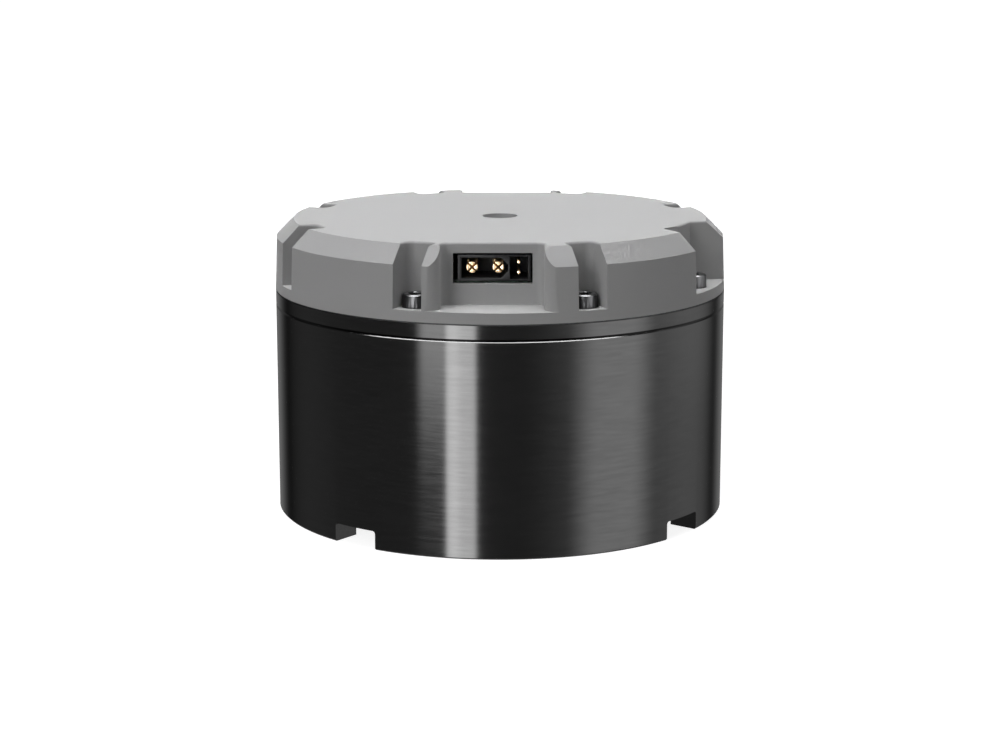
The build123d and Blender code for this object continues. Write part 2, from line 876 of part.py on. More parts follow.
def make_bearing_retainer():
    """The ring that holds the bearing in its seat, with holes for a pin spanner."""
    body = plain_ring(seal_radius + fixed_fit, retainer_radius, recess_z, bearing_z)
    with BuildPart() as retainer:
        add(body)
        with BuildSketch(Plane.XY.offset(recess_z)):
            with PolarLocations((seal_radius + retainer_radius) / 2, 4):
                Circle(spanner_hole_radius)
        extrude(amount=retainer_thickness, mode=Mode.SUBTRACT)
    return retainer.part


def make_output_carrier():
    """The output flange and hub in one piece, which carries the second stage's planet pins."""
    groove_radius = bearing_bore_radius - snap_ring_groove
    body = turned(
        [
            (hollow_outer + fixed_fit, flange_setback + pilot_depth),
            (pilot_radius, flange_setback + pilot_depth),
            (pilot_radius, flange_setback),
            (flange_radius - flange_edge, flange_setback),
            (flange_radius, flange_setback + flange_edge),
            (flange_radius, bearing_z),
            (bearing_bore_radius, bearing_z),
            (bearing_bore_radius, bearing_top_z),
            (groove_radius, bearing_top_z),
            (groove_radius, bearing_top_z + snap_ring_thickness),
            (bearing_bore_radius, bearing_top_z + snap_ring_thickness),
            (bearing_bore_radius, hub_top_z),
            (hollow_outer + fixed_fit, hub_top_z),
        ]
    )
    with BuildPart() as carrier:
        add(body)
        with BuildSketch(Plane.XY.offset(flange_setback)):
            with PolarLocations(flange_hole_circle, flange_hole_count):
                Circle(flange_hole_radius)
        extrude(amount=flange_hole_depth, mode=Mode.SUBTRACT)
        with BuildSketch(Plane.XY.offset(flange_setback)):
            with PolarLocations(dowel_circle, 2):
                Circle(dowel_radius)
        extrude(amount=dowel_depth, mode=Mode.SUBTRACT)
        with BuildSketch(Plane.XY.offset(hub_top_z)):
            with PolarLocations(planet_circle, planet_count, start_angle=first_planet_angle):
                Circle(pin_radius + fixed_fit)
        extrude(amount=-pin_seat_depth, mode=Mode.SUBTRACT)
    return carrier.part


def make_snap_ring():
    """The open ring that holds the bearing's inner race on the hub."""
    inner = bearing_bore_radius - snap_ring_groove + fixed_fit
    outer = bearing_bore_radius + snap_ring_reach
    with BuildPart() as ring:
        with BuildSketch(Plane.XY.offset(bearing_top_z)):
            Circle(outer)
            Circle(inner, mode=Mode.SUBTRACT)
            with Locations((outer, 0)):
                Rectangle(4 * (outer - inner), snap_ring_opening, mode=Mode.SUBTRACT)
        extrude(amount=snap_ring_thickness)
    return ring.part


# Motor


def make_rotor_bell():
    """The rotor's steel ring, carried by a disc with round windows and a hub."""
    hub_inner = rotor_bearing_bore + fixed_fit
    hub_outer = hub_inner + web_hub_wall
    window_circle = (hub_outer + rotor_ring_inner) / 2
    window_radius = (rotor_ring_inner - hub_outer) / 4
    body = turned(
        [
            (hub_inner, lower_bearing_top_z),
            (hub_outer, lower_bearing_top_z),
            (hub_outer, disc_z),
            (rotor_ring_inner, disc_z),
            (rotor_ring_inner, web_top_z + rotor_foot_gap),
            (rotor_ring_outer, web_top_z + rotor_foot_gap),
            (rotor_ring_outer, disc_top_z),
            (hub_outer, disc_top_z),
            (hub_outer, upper_bearing_z),
            (hub_inner, upper_bearing_z),
        ]
    )
    with BuildPart() as bell:
        add(body)
        with BuildSketch(Plane.XY.offset(disc_z)):
            with PolarLocations(window_circle, web_hole_count):
                Circle(window_radius)
        extrude(amount=web_disc_thickness, mode=Mode.SUBTRACT)
    return bell.part


def make_rotor_magnets():
    """Curved magnets round the rotor's ring, as tall as the stator's core."""
    inner = rotor_ring_outer + fixed_fit
    gap = 2 * pi * magnet_outer / magnet_count * (1 - magnet_share)
    with BuildPart() as magnets:
        with BuildSketch(Plane.XY.offset(core_z)):
            Circle(magnet_outer)
            Circle(inner, mode=Mode.SUBTRACT)
            with PolarLocations((inner + magnet_outer) / 2, magnet_count):
                Rectangle(2 * magnet_thickness, gap, mode=Mode.SUBTRACT)
        extrude(amount=core_top_z - core_z)
    return magnets.part


def make_rotor_shaft():
    """The hollow rotor shaft, which holds the first sun's stem and both bearings."""
    flange = rotor_bearing_bore + rotor_shaft_flange
    sun_seat = sun_stem + fixed_fit
    foot_z = cap_z - gear_gap / 2
    top_z = seam_z + magnet_ring_height
    return turned(
        [
            (sun_seat, foot_z),
            (flange, foot_z),
            (flange, lower_bearing_z),
            (rotor_bearing_bore, lower_bearing_z),
            (rotor_bearing_bore, top_z),
            (sun_bore, top_z),
            (sun_bore, disc_z),
            (sun_seat, disc_z),
        ]
    )


def make_stator_core():
    """The laminated core, with teeth that widen at their tips."""
    pitch = 2 * pi / slot_count
    throat = stator_inner + tooth_tip
    half_inner = (pitch * throat - tooth_width) / 2
    half_outer = (pitch * slot_floor - tooth_width) / 2
    with BuildPart() as core:
        with BuildSketch(Plane.XY.offset(core_z)):
            Circle(stator_radius)
            Circle(stator_inner, mode=Mode.SUBTRACT)
            with PolarLocations(0, slot_count, start_angle=180 / slot_count):
                Polygon(
                    (throat, -half_inner),
                    (slot_floor, -half_outer),
                    (slot_floor, half_outer),
                    (throat, half_inner),
                    align=None,
                    mode=Mode.SUBTRACT,
                )
            with PolarLocations(throat, slot_count, start_angle=180 / slot_count):
                Rectangle(4 * tooth_tip, stator_slot_opening, mode=Mode.SUBTRACT)
        extrude(amount=core_top_z - core_z)
    return core.part


def make_windings():
    """One coil round each tooth of the core."""
    length = core_top_z - core_z
    inner_width = tooth_width + 2 * coil_gap
    with BuildPart() as coil:
        middle = (coil_inner, 0, (coil_z + coil_top_z) / 2)
        with BuildSketch(Plane(middle, x_dir=(0, 1, 0), z_dir=(1, 0, 0))):
            RectangleRounded(inner_width + 2 * coil_side, coil_top_z - coil_z, coil_overhang)
            Rectangle(inner_width, length + 2 * coil_gap, mode=Mode.SUBTRACT)
        extrude(amount=coil_outer - coil_inner)
    with BuildPart() as windings:
        with PolarLocations(0, slot_count):
            add(coil.part)
    return windings.part


def make_phase_leads():
    """The three leads from the coils up to the driver board."""
    with BuildPart() as leads:
        with BuildSketch(Plane.XY.offset(coil_top_z)):
            with Locations(*[polar(lead_circle, angle) for angle in lead_angles]):
                Circle(lead_radius)
        extrude(amount=board_z - coil_top_z)
    return leads.part


def make_rotor_bearing_rings(inner, outer):
    """The inner or the outer rings of the rotor's two sealed ball bearings."""
    ring = plain_ring(inner, outer, 0, rotor_bearing_width)
    with BuildPart() as rings:
        with Locations((0, 0, lower_bearing_z), (0, 0, upper_bearing_z)):
            add(ring)
    return rings.part


# Electronics


def make_board():
    """The driver board, a disc cut off straight beside the connector pockets."""
    flat = pocket_wall - cover_wall - board_wall_gap
    with BuildPart() as board:
        with BuildSketch(Plane.XY.offset(board_z)):
            Circle(board_radius)
            Rectangle(2 * board_radius, 2 * flat, mode=Mode.INTERSECT)
            Circle(hollow_outer + board_hole_gap, mode=Mode.SUBTRACT)
            with PolarLocations(standoff_circle, standoff_count, start_angle=45):
                Circle(M2_5_LOW[0] + screw_clearance, mode=Mode.SUBTRACT)
        extrude(amount=board_thickness)
    return board.part


def make_standoffs():
    with BuildPart() as standoffs:
        with BuildSketch(Plane.XY.offset(seam_z)):
            with PolarLocations(standoff_circle, standoff_count, start_angle=45):
                RegularPolygon(standoff_radius, 6)
                Circle(M2_5_LOW[0] + fixed_fit, mode=Mode.SUBTRACT)
        extrude(amount=standoff_height)
    return standoffs.part


def make_chips(places, size, bottom):
    """Flat packages of one size at the given places."""
    length, width, height = size
    with BuildPart() as chips:
        with BuildSketch(Plane.XY.offset(bottom)):
            with Locations(*places):
                Rectangle(length, width)
        extrude(amount=height)
    return chips.part


def make_transistors():
    column_start = -(transistor_columns - 1) / 2
    row_start = -(transistor_rows - 1) / 2
    x, y = transistor_centre
    places = [
        (x + (column_start + i) * transistor_pitch, y + (row_start + j) * transistor_pitch)
        for i in range(transistor_columns)
        for j in range(transistor_rows)
    ]
    return make_chips(places, transistor_size, board_top_z)


def make_capacitors():
    with BuildPart() as capacitors:
        with BuildSketch(Plane.XY.offset(board_top_z)):
            with Locations(*capacitor_places):
                Circle(capacitor_radius)
        extrude(amount=capacitor_height)
    return capacitors.part


def make_encoder_chips():
    """One chip under the board reads the rotor's ring, and one on it reads the output's."""
    rotor_place = polar(rotor_bearing_bore + magnet_ring_width / 2, encoder_angle)
    output_place = polar(hollow_outer + board_hole_gap + encoder_size[0] / 2, encoder_angle)
    rotor_chip = make_chips([rotor_place], encoder_size, board_z - encoder_size[2])
    output_chip = make_chips([output_place], encoder_size, board_top_z)
    with BuildPart() as chips:
        add(rotor_chip)
        add(output_chip)
    return chips.part


os.makedirs("parts", exist_ok=True)

# Housing, end plate and cover
save("main_housing", make_main_housing())
save("gearbox_housing", make_gearbox_housing())
save("motor_end_plate", make_end_plate())
save("rear_cover", make_rear_cover())
gasket_outer = body_radius - gasket_setback
save(
    "cover_gasket",
    plain_ring(gasket_outer - gasket_width + fixed_fit, gasket_outer, seam_z, seam_z + gasket_thickness),
)

# Screws
save(
    "cover_screws",
    screws_on_circle(
        M3, cover_screw_length, cover_screw_circle, well_count, well_angles[0], ledge_z - spot_face_depth
    ),
)
save(
    "gearbox_screws",
    screws_on_circle(
        M2_5,
        plate_screw_length,
        plate_screw_circle,
        plate_screw_count,
        well_angles[0],
        recess_z + M2_5[2] + screw_clearance,
        facing=-1,
    ),
)
save(
    "cap_screws",
    screws_on_circle(
        M2, cap_screw_length, (ring_outer + sleeve_radius) / 2, cap_screw_count, 0, cap_z + cap_thickness
    ),
)
save(
    "board_screws",
    screws_on_circle(M2_5_LOW, board_screw_length, standoff_circle, standoff_count, 45, board_top_z),
)

# Output side
save("output_carrier", make_output_carrier())
save("output_bearing_inner", make_bearing_inner())
save("output_bearing_outer", make_bearing_outer())
save("output_bearing_rollers", make_bearing_rollers())
save("output_snap_ring", make_snap_ring())
save("bearing_retainer", make_bearing_retainer())
save("output_seal", plain_ring(flange_radius + running_fit, seal_radius, recess_z, bearing_z))
save(
    "hollow_shaft",
    plain_ring(
        hollow_bore_radius, hollow_outer, flange_setback + pilot_depth, cover_roof_z - shaft_end_gap
    ),
)

# Gear train
save("ring_gear", make_ring_gear())
save("gearbox_cap", make_gearbox_cap())
save("carrier_plate", make_carrier_plate())
save("sun_gear_1", sun_gear(stage_1_z, stage_1_face, disc_z - fixed_fit))
save("sun_gear_2", sun_gear(stage_2_z, stage_2_face + gear_gap, carrier_top_z))
save("stage_1_pins", planet_pins(carrier_plate_z, stage_1_top_z))
save("stage_2_pins", planet_pins(hub_top_z - pin_seat_depth, stage_2_z + stage_2_face))
for letter, angle in zip("abcdefgh", planet_angles):
    save(f"planet_1{letter}", planet_gear(angle, stage_1_z, stage_1_face))
    save(f"planet_2{letter}", planet_gear(angle, stage_2_z, stage_2_face))
    save(f"planet_bush_1{letter}", planet_bush(angle, stage_1_z, stage_1_face))
    save(f"planet_bush_2{letter}", planet_bush(angle, stage_2_z, stage_2_face))

# Motor
inner_race = rotor_bearing_bore + fixed_fit + rotor_bearing_race
save("rotor_shaft", make_rotor_shaft())
save("rotor_bell", make_rotor_bell())
save("rotor_magnets", make_rotor_magnets())
save("stator_core", make_stator_core())
save("stator_windings", make_windings())
save("phase_leads", make_phase_leads())
save("rotor_bearing_inners", make_rotor_bearing_rings(rotor_bearing_bore + fixed_fit, inner_race))
save(
    "rotor_bearing_outers",
    make_rotor_bearing_rings(inner_race + running_fit, rotor_bearing_outer - fixed_fit),
)

# Electronics
save("driver_board", make_board())
save("board_standoffs", make_standoffs())
save("power_transistors", make_transistors())
save("bus_capacitors", make_capacitors())
save("controller_chip", make_chips([controller_centre], controller_size, board_top_z))
save("encoder_chips", make_encoder_chips())
magnet_ring_inner = rotor_bearing_bore + fixed_fit
save(
    "rotor_encoder_ring",
    plain_ring(magnet_ring_inner, magnet_ring_inner + magnet_ring_width, seam_z, seam_z + magnet_ring_height),
)
output_ring_z = board_top_z + encoder_size[2] + encoder_air_gap
save(
    "output_encoder_ring",
    plain_ring(
        hollow_outer + fixed_fit,
        hollow_outer + fixed_fit + magnet_ring_width,
        output_ring_z,
        output_ring_z + output_ring_height,
    ),
)
for side in ("front", "back"):
    save(f"connector_{side}", make_connector(side))
    save(f"connector_pins_{side}", make_connector_pins(side))
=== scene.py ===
"""Looks of a robot joint actuator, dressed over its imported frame. Metres, +Z up, -Y is the front."""
import json
import logging
import math
from dataclasses import dataclass, field
from enum import Enum
from typing import Any, Sequence

import bmesh
import bpy
from bmesh.types import BMEdge, BMesh, BMFace, BMVert
from bpy.types import Material, Mesh, NodeSocket, NodeTree, Object
from mathutils import Matrix, Vector


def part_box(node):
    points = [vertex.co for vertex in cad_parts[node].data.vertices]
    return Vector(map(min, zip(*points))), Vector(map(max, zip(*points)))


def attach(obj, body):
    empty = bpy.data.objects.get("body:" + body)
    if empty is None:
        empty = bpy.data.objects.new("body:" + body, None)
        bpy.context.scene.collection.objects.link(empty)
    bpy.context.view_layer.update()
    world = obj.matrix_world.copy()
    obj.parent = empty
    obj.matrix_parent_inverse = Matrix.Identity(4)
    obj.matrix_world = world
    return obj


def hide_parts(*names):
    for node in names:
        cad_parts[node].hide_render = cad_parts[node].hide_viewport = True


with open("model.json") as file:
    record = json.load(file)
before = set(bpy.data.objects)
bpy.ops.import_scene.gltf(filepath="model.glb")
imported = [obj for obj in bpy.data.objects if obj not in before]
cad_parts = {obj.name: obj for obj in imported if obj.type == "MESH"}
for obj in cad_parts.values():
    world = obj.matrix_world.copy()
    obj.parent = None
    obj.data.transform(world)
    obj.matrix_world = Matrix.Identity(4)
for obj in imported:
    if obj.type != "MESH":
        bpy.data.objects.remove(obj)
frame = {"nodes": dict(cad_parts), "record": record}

Pair = tuple[float, float]
Triple = tuple[float, float, float]

MM = 0.001
NEAR = 0.01 * MM          # corners this close to a plane or a circle lie on it
MERGE = 0.001 * MM        # corners this close to each other become one
SHARP = math.radians(34)  # faces that meet at more than this keep a sharp edge
ORIGIN = (0.0, 0.0, 0.0)
UP = (0.0, 0.0, 1.0)
LOG = logging.getLogger("actuator")

# The material slot of each CAD node.
NODE_SLOTS = {entry["node"]: entry["material_slot"] for entry in frame["record"]["subparts"]}


class Pattern(Enum):
    """How a surface was made, which sets the way its fine pattern runs."""

    TURNED = "lines round the shaft's axis"
    BLASTED = "even pits in every direction"
    DRAWN = "lines along the shaft's axis"
    STACKED = "thin sheets stacked along the shaft's axis"
    WOUND = "turns of wire side by side away from the shaft's axis"
    MOULDED = "soft grain of a mould"


def linear_colour(code: str) -> tuple[float, float, float, float]:
    """Turns an sRGB hex colour into Blender's linear colour.

    Args:
        code: Six hex digits, such as "8c8c8e".

    Returns:
        Red, green, blue and an alpha of 1.
    """
    levels = [int(code[i:i + 2], 16) / 255 for i in (0, 2, 4)]
    red, green, blue = (c / 12.92 if c <= 0.04045 else ((c + 0.055) / 1.055) ** 2.4 for c in levels)
    return (red, green, blue, 1.0)


def add_node(tree: NodeTree, kind: str, inputs: dict[Any, Any], **settings: Any) -> Any:
    """Adds a node, sets its options and fills or links its sockets.

    Args:
        tree: The node tree that the node goes into.
        kind: Blender's name for the node type.
        inputs: A value, or a socket to link from, by socket name or number.
        settings: The node's own options by attribute name.

    Returns:
        The new node.
    """
    node = tree.nodes.new(kind)
    for name, value in settings.items():
        setattr(node, name, value)
    for name, value in inputs.items():
        if isinstance(value, NodeSocket):
            tree.links.new(value, node.inputs[name])
        else:
            node.inputs[name].default_value = value
    return node


def empty_tree(block: Any) -> NodeTree:
    """Gives a material or a world an empty node tree and returns the tree."""
    block.use_nodes = True
    block.node_tree.nodes.clear()
    return block.node_tree


def add_object(name: str, data: Any) -> Object:
    """Makes an object that shows some data and puts it into the scene."""
    made = bpy.data.objects.new(name, data)
    bpy.context.scene.collection.objects.link(made)
    return made


# What all finishes share: how much longer than wide the grains of a directed pattern are, the range that
# holds nearly all of a noise's values, the least roughness of a surface, and the roughness of a varnish.
GRAIN_STRETCH = 12.0
NOISE_RANGE = (0.3, 0.7)
LEAST_ROUGHNESS = 0.02
COAT_ROUGHNESS = 0.12


@dataclass(frozen=True)
class Finish:
    """A finish: what the surface is made of, and the pattern that its making left.

    Spacing and depth are those of the pattern in millimetres. Cloud is the size in millimetres of the slow
    changes of tone and gloss, and tone is how far they go, as a share of the colour. The fine pattern's
    share of those changes is grain_share.
    """

    name: str
    colour: str
    pattern: Pattern
    spacing: float
    depth: float
    roughness: float
    metallic: float = 0.0
    ior: float = 1.5
    tone: float = 0.08
    gloss_change: float = 0.06
    cloud: float = 9.0
    anisotropy: float = 0.0
    coat: float = 0.0
    specular: float = 0.5
    grain_share: float = 0.5

    def pattern_inputs(self, tree: NodeTree, place: NodeSocket) -> dict[str, Any]:
        """Works out where the pattern's noise is read, so that its grain runs the right way.

        Args:
            tree: The material's node tree.
            place: The socket that gives the object coordinates.

        Returns:
            The Vector and W inputs of a four-dimensional noise.
        """
        fine = 1 / (self.spacing * MM)
        coarse = fine / GRAIN_STRETCH
        flat = add_node(tree, "ShaderNodeMapping", {"Vector": place, "Scale": (1.0, 1.0, 0.0)})
        radius = add_node(tree, "ShaderNodeVectorMath", {0: flat.outputs[0]}, operation="LENGTH")
        scales = {
            Pattern.TURNED: ((coarse, coarse, fine), fine),
            Pattern.BLASTED: ((fine, fine, fine), 0.0),
            Pattern.DRAWN: ((fine, fine, coarse), 0.0),
            Pattern.STACKED: ((coarse, coarse, fine), 0.0),
            Pattern.WOUND: ((coarse, coarse, coarse), fine),
            Pattern.MOULDED: ((fine, fine, fine), 0.0),
        }
        across, outward = scales[self.pattern]
        vector = add_node(tree, "ShaderNodeMapping", {"Vector": place, "Scale": across})
        out = add_node(
            tree, "ShaderNodeMath", {0: radius.outputs["Value"], 1: outward}, operation="MULTIPLY"
        )
        return {"Vector": vector.outputs[0], "W": out.outputs[0]}

    def material(self) -> Material:
        """Builds the finish as a procedural material.

        Returns:
            The material, named for the finish.
        """
        material = bpy.data.materials.new(self.name)
        tree = empty_tree(material)
        place = add_node(tree, "ShaderNodeTexCoord", {}).outputs["Object"]
        grain = add_node(tree, "ShaderNodeTexNoise", {
            "Scale": 1.0,
            "Detail": 3.0,
            "Roughness": 0.55,
            **self.pattern_inputs(tree, place),
        }, noise_dimensions="4D")
        clouds = add_node(
            tree, "ShaderNodeTexNoise", {"Vector": place, "Scale": 1 / (self.cloud * MM), "Detail": 4.0}
        )
        base = linear_colour(self.colour)
        low = tuple(c * (1 - self.tone) for c in base[:3]) + (1.0,)
        high = tuple(c * (1 + self.tone) for c in base[:3]) + (1.0,)
        both = add_node(tree, "ShaderNodeMix", {
            0: self.grain_share,
            2: clouds.outputs["Fac"],
            3: grain.outputs["Fac"],
        }, data_type="FLOAT")
        colour = add_node(tree, "ShaderNodeMix", {0: both.outputs[0], 6: low, 7: high}, data_type="RGBA")
        gloss = add_node(tree, "ShaderNodeMapRange", {
            "Value": both.outputs[0],
            "From Min": NOISE_RANGE[0],
            "From Max": NOISE_RANGE[1],
            "To Min": max(self.roughness - self.gloss_change, LEAST_ROUGHNESS),
            "To Max": self.roughness + self.gloss_change,
        })
        relief = add_node(tree, "ShaderNodeBump", {
            "Strength": 1.0,
            "Distance": self.depth * MM,
            "Height": grain.outputs["Fac"],
        })
        shader = add_node(tree, "ShaderNodeBsdfPrincipled", {
            "Base Color": colour.outputs[2],
            "Metallic": self.metallic,
            "Roughness": gloss.outputs[0],
            "IOR": self.ior,
            "Coat Weight": self.coat,
            "Coat Roughness": COAT_ROUGHNESS,
            "Specular IOR Level": self.specular,
            "Normal": relief.outputs[0],
        })
        if self.anisotropy:
            # The tangent runs round the shaft. A quarter turn draws highlights across the turned lines.
            round_shaft = add_node(tree, "ShaderNodeTangent", {}, direction_type="RADIAL", axis="Z")
            shader.inputs["Anisotropic"].default_value = self.anisotropy
            shader.inputs["Anisotropic Rotation"].default_value = 0.25
            tree.links.new(round_shaft.outputs[0], shader.inputs["Tangent"])
        add_node(tree, "ShaderNodeOutputMaterial", {"Surface": shader.outputs[0]})
        return material


# The finish of each of the record's material slots.
FINISHES: dict[str, Finish] = {
    # Aluminium turned on a lathe and hard anodised black: deep grey in the light, with fine lines round
    # the body. The lines are really about 0.1 mm apart and are drawn at 0.45 mm, so that they show.
    "black_anodised": Finish(
        "hard_anodised_aluminium", "2f2f2f", Pattern.TURNED, 0.45, 0.0015, 0.135, metallic=1.0, tone=0.3,
        gloss_change=0.02, cloud=25.0, anisotropy=0.6, grain_share=0.85,
    ),
    # Aluminium milled, bead-blasted and anodised silver grey: matt and even, with a soft fine grain.
    "silver_anodised": Finish(
        "bead_blasted_anodised_aluminium", "a3a3a3", Pattern.BLASTED, 0.25, 0.006, 0.62, tone=0.05,
        cloud=14.0, specular=0.1,
    ),
    # Aluminium as it left the lathe: bright, with visible turned rings.
    "bare_aluminium": Finish(
        "turned_aluminium", "c9cacc", Pattern.TURNED, 0.25, 0.003, 0.28, metallic=1.0, anisotropy=0.3
    ),
    # Alloy steel screws in black oxide: dark, slightly oily and smooth.
    "dark_steel": Finish(
        "black_oxide_steel", "3c3c3d", Pattern.DRAWN, 0.4, 0.002, 0.33, metallic=1.0, tone=0.15, cloud=1.5
    ),
    # Small screws with a clear zinc plating: pale and satin.
    "bright_steel": Finish(
        "zinc_plated_steel", "b4b7bb", Pattern.BLASTED, 0.3, 0.002, 0.3, metallic=1.0, cloud=2.0
    ),
    # Bearing steel, hardened, ground and honed: close to a mirror, with faint lines round the race.
    "bearing_steel": Finish(
        "ground_bearing_steel", "c2c3c6", Pattern.TURNED, 0.15, 0.001, 0.14, metallic=1.0, cloud=6.0
    ),
    # Gear steel, hobbed and case hardened, with a film of grease: darker and softer than a ground race.
    "gear_steel": Finish(
        "hobbed_gear_steel", "8c8d91", Pattern.DRAWN, 0.2, 0.002, 0.3, metallic=1.0, tone=0.12, cloud=5.0
    ),
    # Spring steel, blued in the furnace: dark with a cold tint.
    "spring_steel": Finish(
        "blued_spring_steel", "4b4f58", Pattern.TURNED, 0.2, 0.001, 0.3, metallic=1.0, cloud=4.0
    ),
    # Lacquered electrical steel sheets, 0.35 mm thick, stacked: dull, with the sheets' edges showing.
    "electrical_steel": Finish(
        "laminated_electrical_steel", "6f7379", Pattern.STACKED, 0.35, 0.03, 0.42, metallic=1.0, tone=0.3
    ),
    # Enamelled copper wire, 0.8 mm thick, in neat turns: warm brown with a glossy varnish.
    "copper_enamel": Finish(
        "enamelled_copper_wire", "a85a2a", Pattern.WOUND, 0.8, 0.15, 0.3, metallic=0.6, tone=0.35, coat=0.6
    ),
    # Sintered neodymium with nickel plating: pale, slightly warm and glossy.
    "magnet_nickel": Finish(
        "nickel_plated_magnet", "bdbab3", Pattern.BLASTED, 0.5, 0.002, 0.18, metallic=1.0, cloud=5.0
    ),
    # Bonded ferrite for the encoders: brown-black and dull, with a fine grain.
    "magnet_ring": Finish("bonded_ferrite", "332f2d", Pattern.MOULDED, 0.2, 0.004, 0.55, tone=0.2),
    # Oiled sintered bronze bushes: golden brown with fine pores.
    "bronze": Finish(
        "sintered_bronze", "a67b45", Pattern.BLASTED, 0.15, 0.004, 0.36, metallic=1.0, tone=0.18
    ),
    # Free-cutting brass for the stand-offs, drawn to a hexagon: yellow with fine lines along it.
    "brass": Finish("drawn_brass", "c7a45c", Pattern.DRAWN, 0.2, 0.002, 0.25, metallic=1.0),
    # Contact pins in copper alloy with hard gold plating: rich yellow and glossy.
    "gold_plate": Finish(
        "hard_gold_plating", "dcc09a", Pattern.DRAWN, 0.15, 0.001, 0.38, metallic=1.0, tone=0.06, cloud=1.0
    ),
    # Nitrile rubber for the gasket and the lip seal: black and dull.
    "rubber": Finish("nitrile_rubber", "1c1c1c", Pattern.MOULDED, 0.4, 0.006, 0.6, tone=0.2),
    # Green solder mask over a glass-fibre board: glossy, with the faint weave of the glass under it.
    "board_green": Finish("solder_mask", "0c2a1b", Pattern.MOULDED, 0.6, 0.006, 0.28, tone=0.15, coat=0.3),
    # Chip packages in epoxy: charcoal and slightly rough.
    "package_black": Finish("moulded_epoxy", "2b2b2c", Pattern.MOULDED, 0.12, 0.003, 0.5, tone=0.12),
    # Glass-filled nylon of the connectors: nearly black, with a faint soft sheen from the mould.
    "connector_plastic": Finish(
        "glass_filled_nylon", "161617", Pattern.MOULDED, 0.18, 0.003, 0.42, tone=0.1, cloud=3.0,
        specular=0.12,
    ),
}
FINISHES["capacitor_can"] = FINISHES["bare_aluminium"]


@dataclass
class Wardrobe:
    """The finishes as materials, each built once, when it is first worn."""

    built: dict[str, Material] = field(default_factory=dict)

    def material(self, slot: str) -> Material:
        """Gives the material of a slot of the record.

        Args:
            slot: The slot's name in the record.

        Returns:
            Its material.
        """
        finish = FINISHES[slot]
        if finish.name not in self.built:
            self.built[finish.name] = finish.material()
        return self.built[finish.name]

    def dress_nodes(self) -> int:
        """Gives every CAD node the material of its slot.

        Returns:
            How many nodes were dressed.
        """
        for name, node in frame["nodes"].items():
            node.data.materials.clear()
            node.data.materials.append(self.material(NODE_SLOTS[name]))
        return len(frame["nodes"])


def stamp(target: BMesh, template: Mesh, places: Sequence[Matrix]) -> None:
    """Adds a copy of a template mesh at each place.

    Args:
        target: The mesh that the copies go into.
        template: The mesh to copy, which is removed afterwards.
        places: One matrix for each copy.
    """
    for place in places:
        copy = template.copy()
        copy.transform(place)
        target.from_mesh(copy)
        bpy.data.meshes.remove(copy)
    bpy.data.meshes.remove(template)


def as_mesh(bm: BMesh, name: str) -> Mesh:
    """Turns a bmesh into a mesh with its normals outward, and frees the bmesh.

    Args:
        bm: The bmesh.
        name: The mesh's name.

    Returns:
        The mesh.
    """
    bmesh.ops.recalc_face_normals(bm, faces=bm.faces)
    mesh = bpy.data.meshes.new(name)
    bm.to_mesh(mesh)
    bm.free()
    return mesh


def only(items: Sequence[Any], kind: type) -> list[Any]:
    """Keeps the corners or the edges out of what an operator gives back."""
    return [item for item in items if isinstance(item, kind)]


def edges_at(verts: Sequence[BMVert]) -> list[BMEdge]:
    """Collects the edges that meet at some corners, each once."""
    return list({edge for vert in verts for edge in vert.link_edges})


def bevel(bm: BMesh, geom: Sequence[Any], offset: float, segments: int, affect: str = "EDGES") -> None:
    """Bevels edges or corners by an offset in millimetres."""
    bmesh.ops.bevel(
        bm, geom=geom, offset=offset * MM, segments=segments, profile=0.5, affect=affect, material=-1
    )


def add_square(bm: BMesh, matrix: Matrix) -> BMFace:
    """Lays a square with sides of one metre, placed and stretched by a matrix, and gives its face."""
    made = bmesh.ops.create_grid(bm, x_segments=1, y_segments=1, size=0.5, matrix=matrix)
    return made["verts"][0].link_faces[0]


def turn_profile(bm: BMesh, points: Sequence[Pair], steps: int) -> None:
    """Spins an outline of radius and height, in millimetres, a full turn round the Z axis.

    Args:
        bm: The mesh that the turned surface goes into.
        points: Radius and height of each corner.
        steps: How many flats the full turn has.
    """
    verts = [bm.verts.new((radius * MM, 0.0, height * MM)) for radius, height in points]
    edges = [bm.edges.new(pair) for pair in zip(verts, verts[1:])]
    bmesh.ops.spin(
        bm, geom=verts + edges, axis=UP, cent=ORIGIN, angle=math.tau, steps=steps, use_merge=True
    )
    bmesh.ops.remove_doubles(bm, verts=bm.verts, dist=MERGE)


def extrude_loop(bm: BMesh, edges: Sequence[BMEdge], move: Vector) -> list[BMEdge]:
    """Draws a loop of edges out into a wall.

    Args:
        bm: The mesh that holds the loop.
        edges: The loop's edges.
        move: How far and which way the wall goes.

    Returns:
        The edges at the wall's far end.
    """
    made = bmesh.ops.extrude_edge_only(bm, edges=edges)["geom"]
    far = set(only(made, BMVert))
    bmesh.ops.translate(bm, verts=list(far), vec=move)
    return [edge for edge in only(made, BMEdge) if set(edge.verts) <= far]


@dataclass
class Assembly:
    """Where a group of detailed pieces takes its materials from and puts its pieces."""

    wardrobe: Wardrobe

    def add(self, mesh: Mesh, body: str, slot: str, *nodes: str) -> Object:
        """Makes a mesh a piece of the object that rides on a body and stands for CAD nodes.

        Args:
            mesh: The finished mesh, in place in the row frame.
            body: The CAD body that it moves with.
            slot: The record's slot that it takes its finish from.
            nodes: The CAD nodes that it replaces.

        Returns:
            The new piece.
        """
        mesh.shade_smooth()
        mesh.set_sharp_from_angle(angle=SHARP)
        mesh.materials.append(self.wardrobe.material(slot))
        piece = add_object(mesh.name, mesh)
        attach(piece, body)
        if nodes:
            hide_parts(*nodes)
        LOG.info("%s: %d faces on %s", piece.name, len(mesh.polygons), body)
        return piece


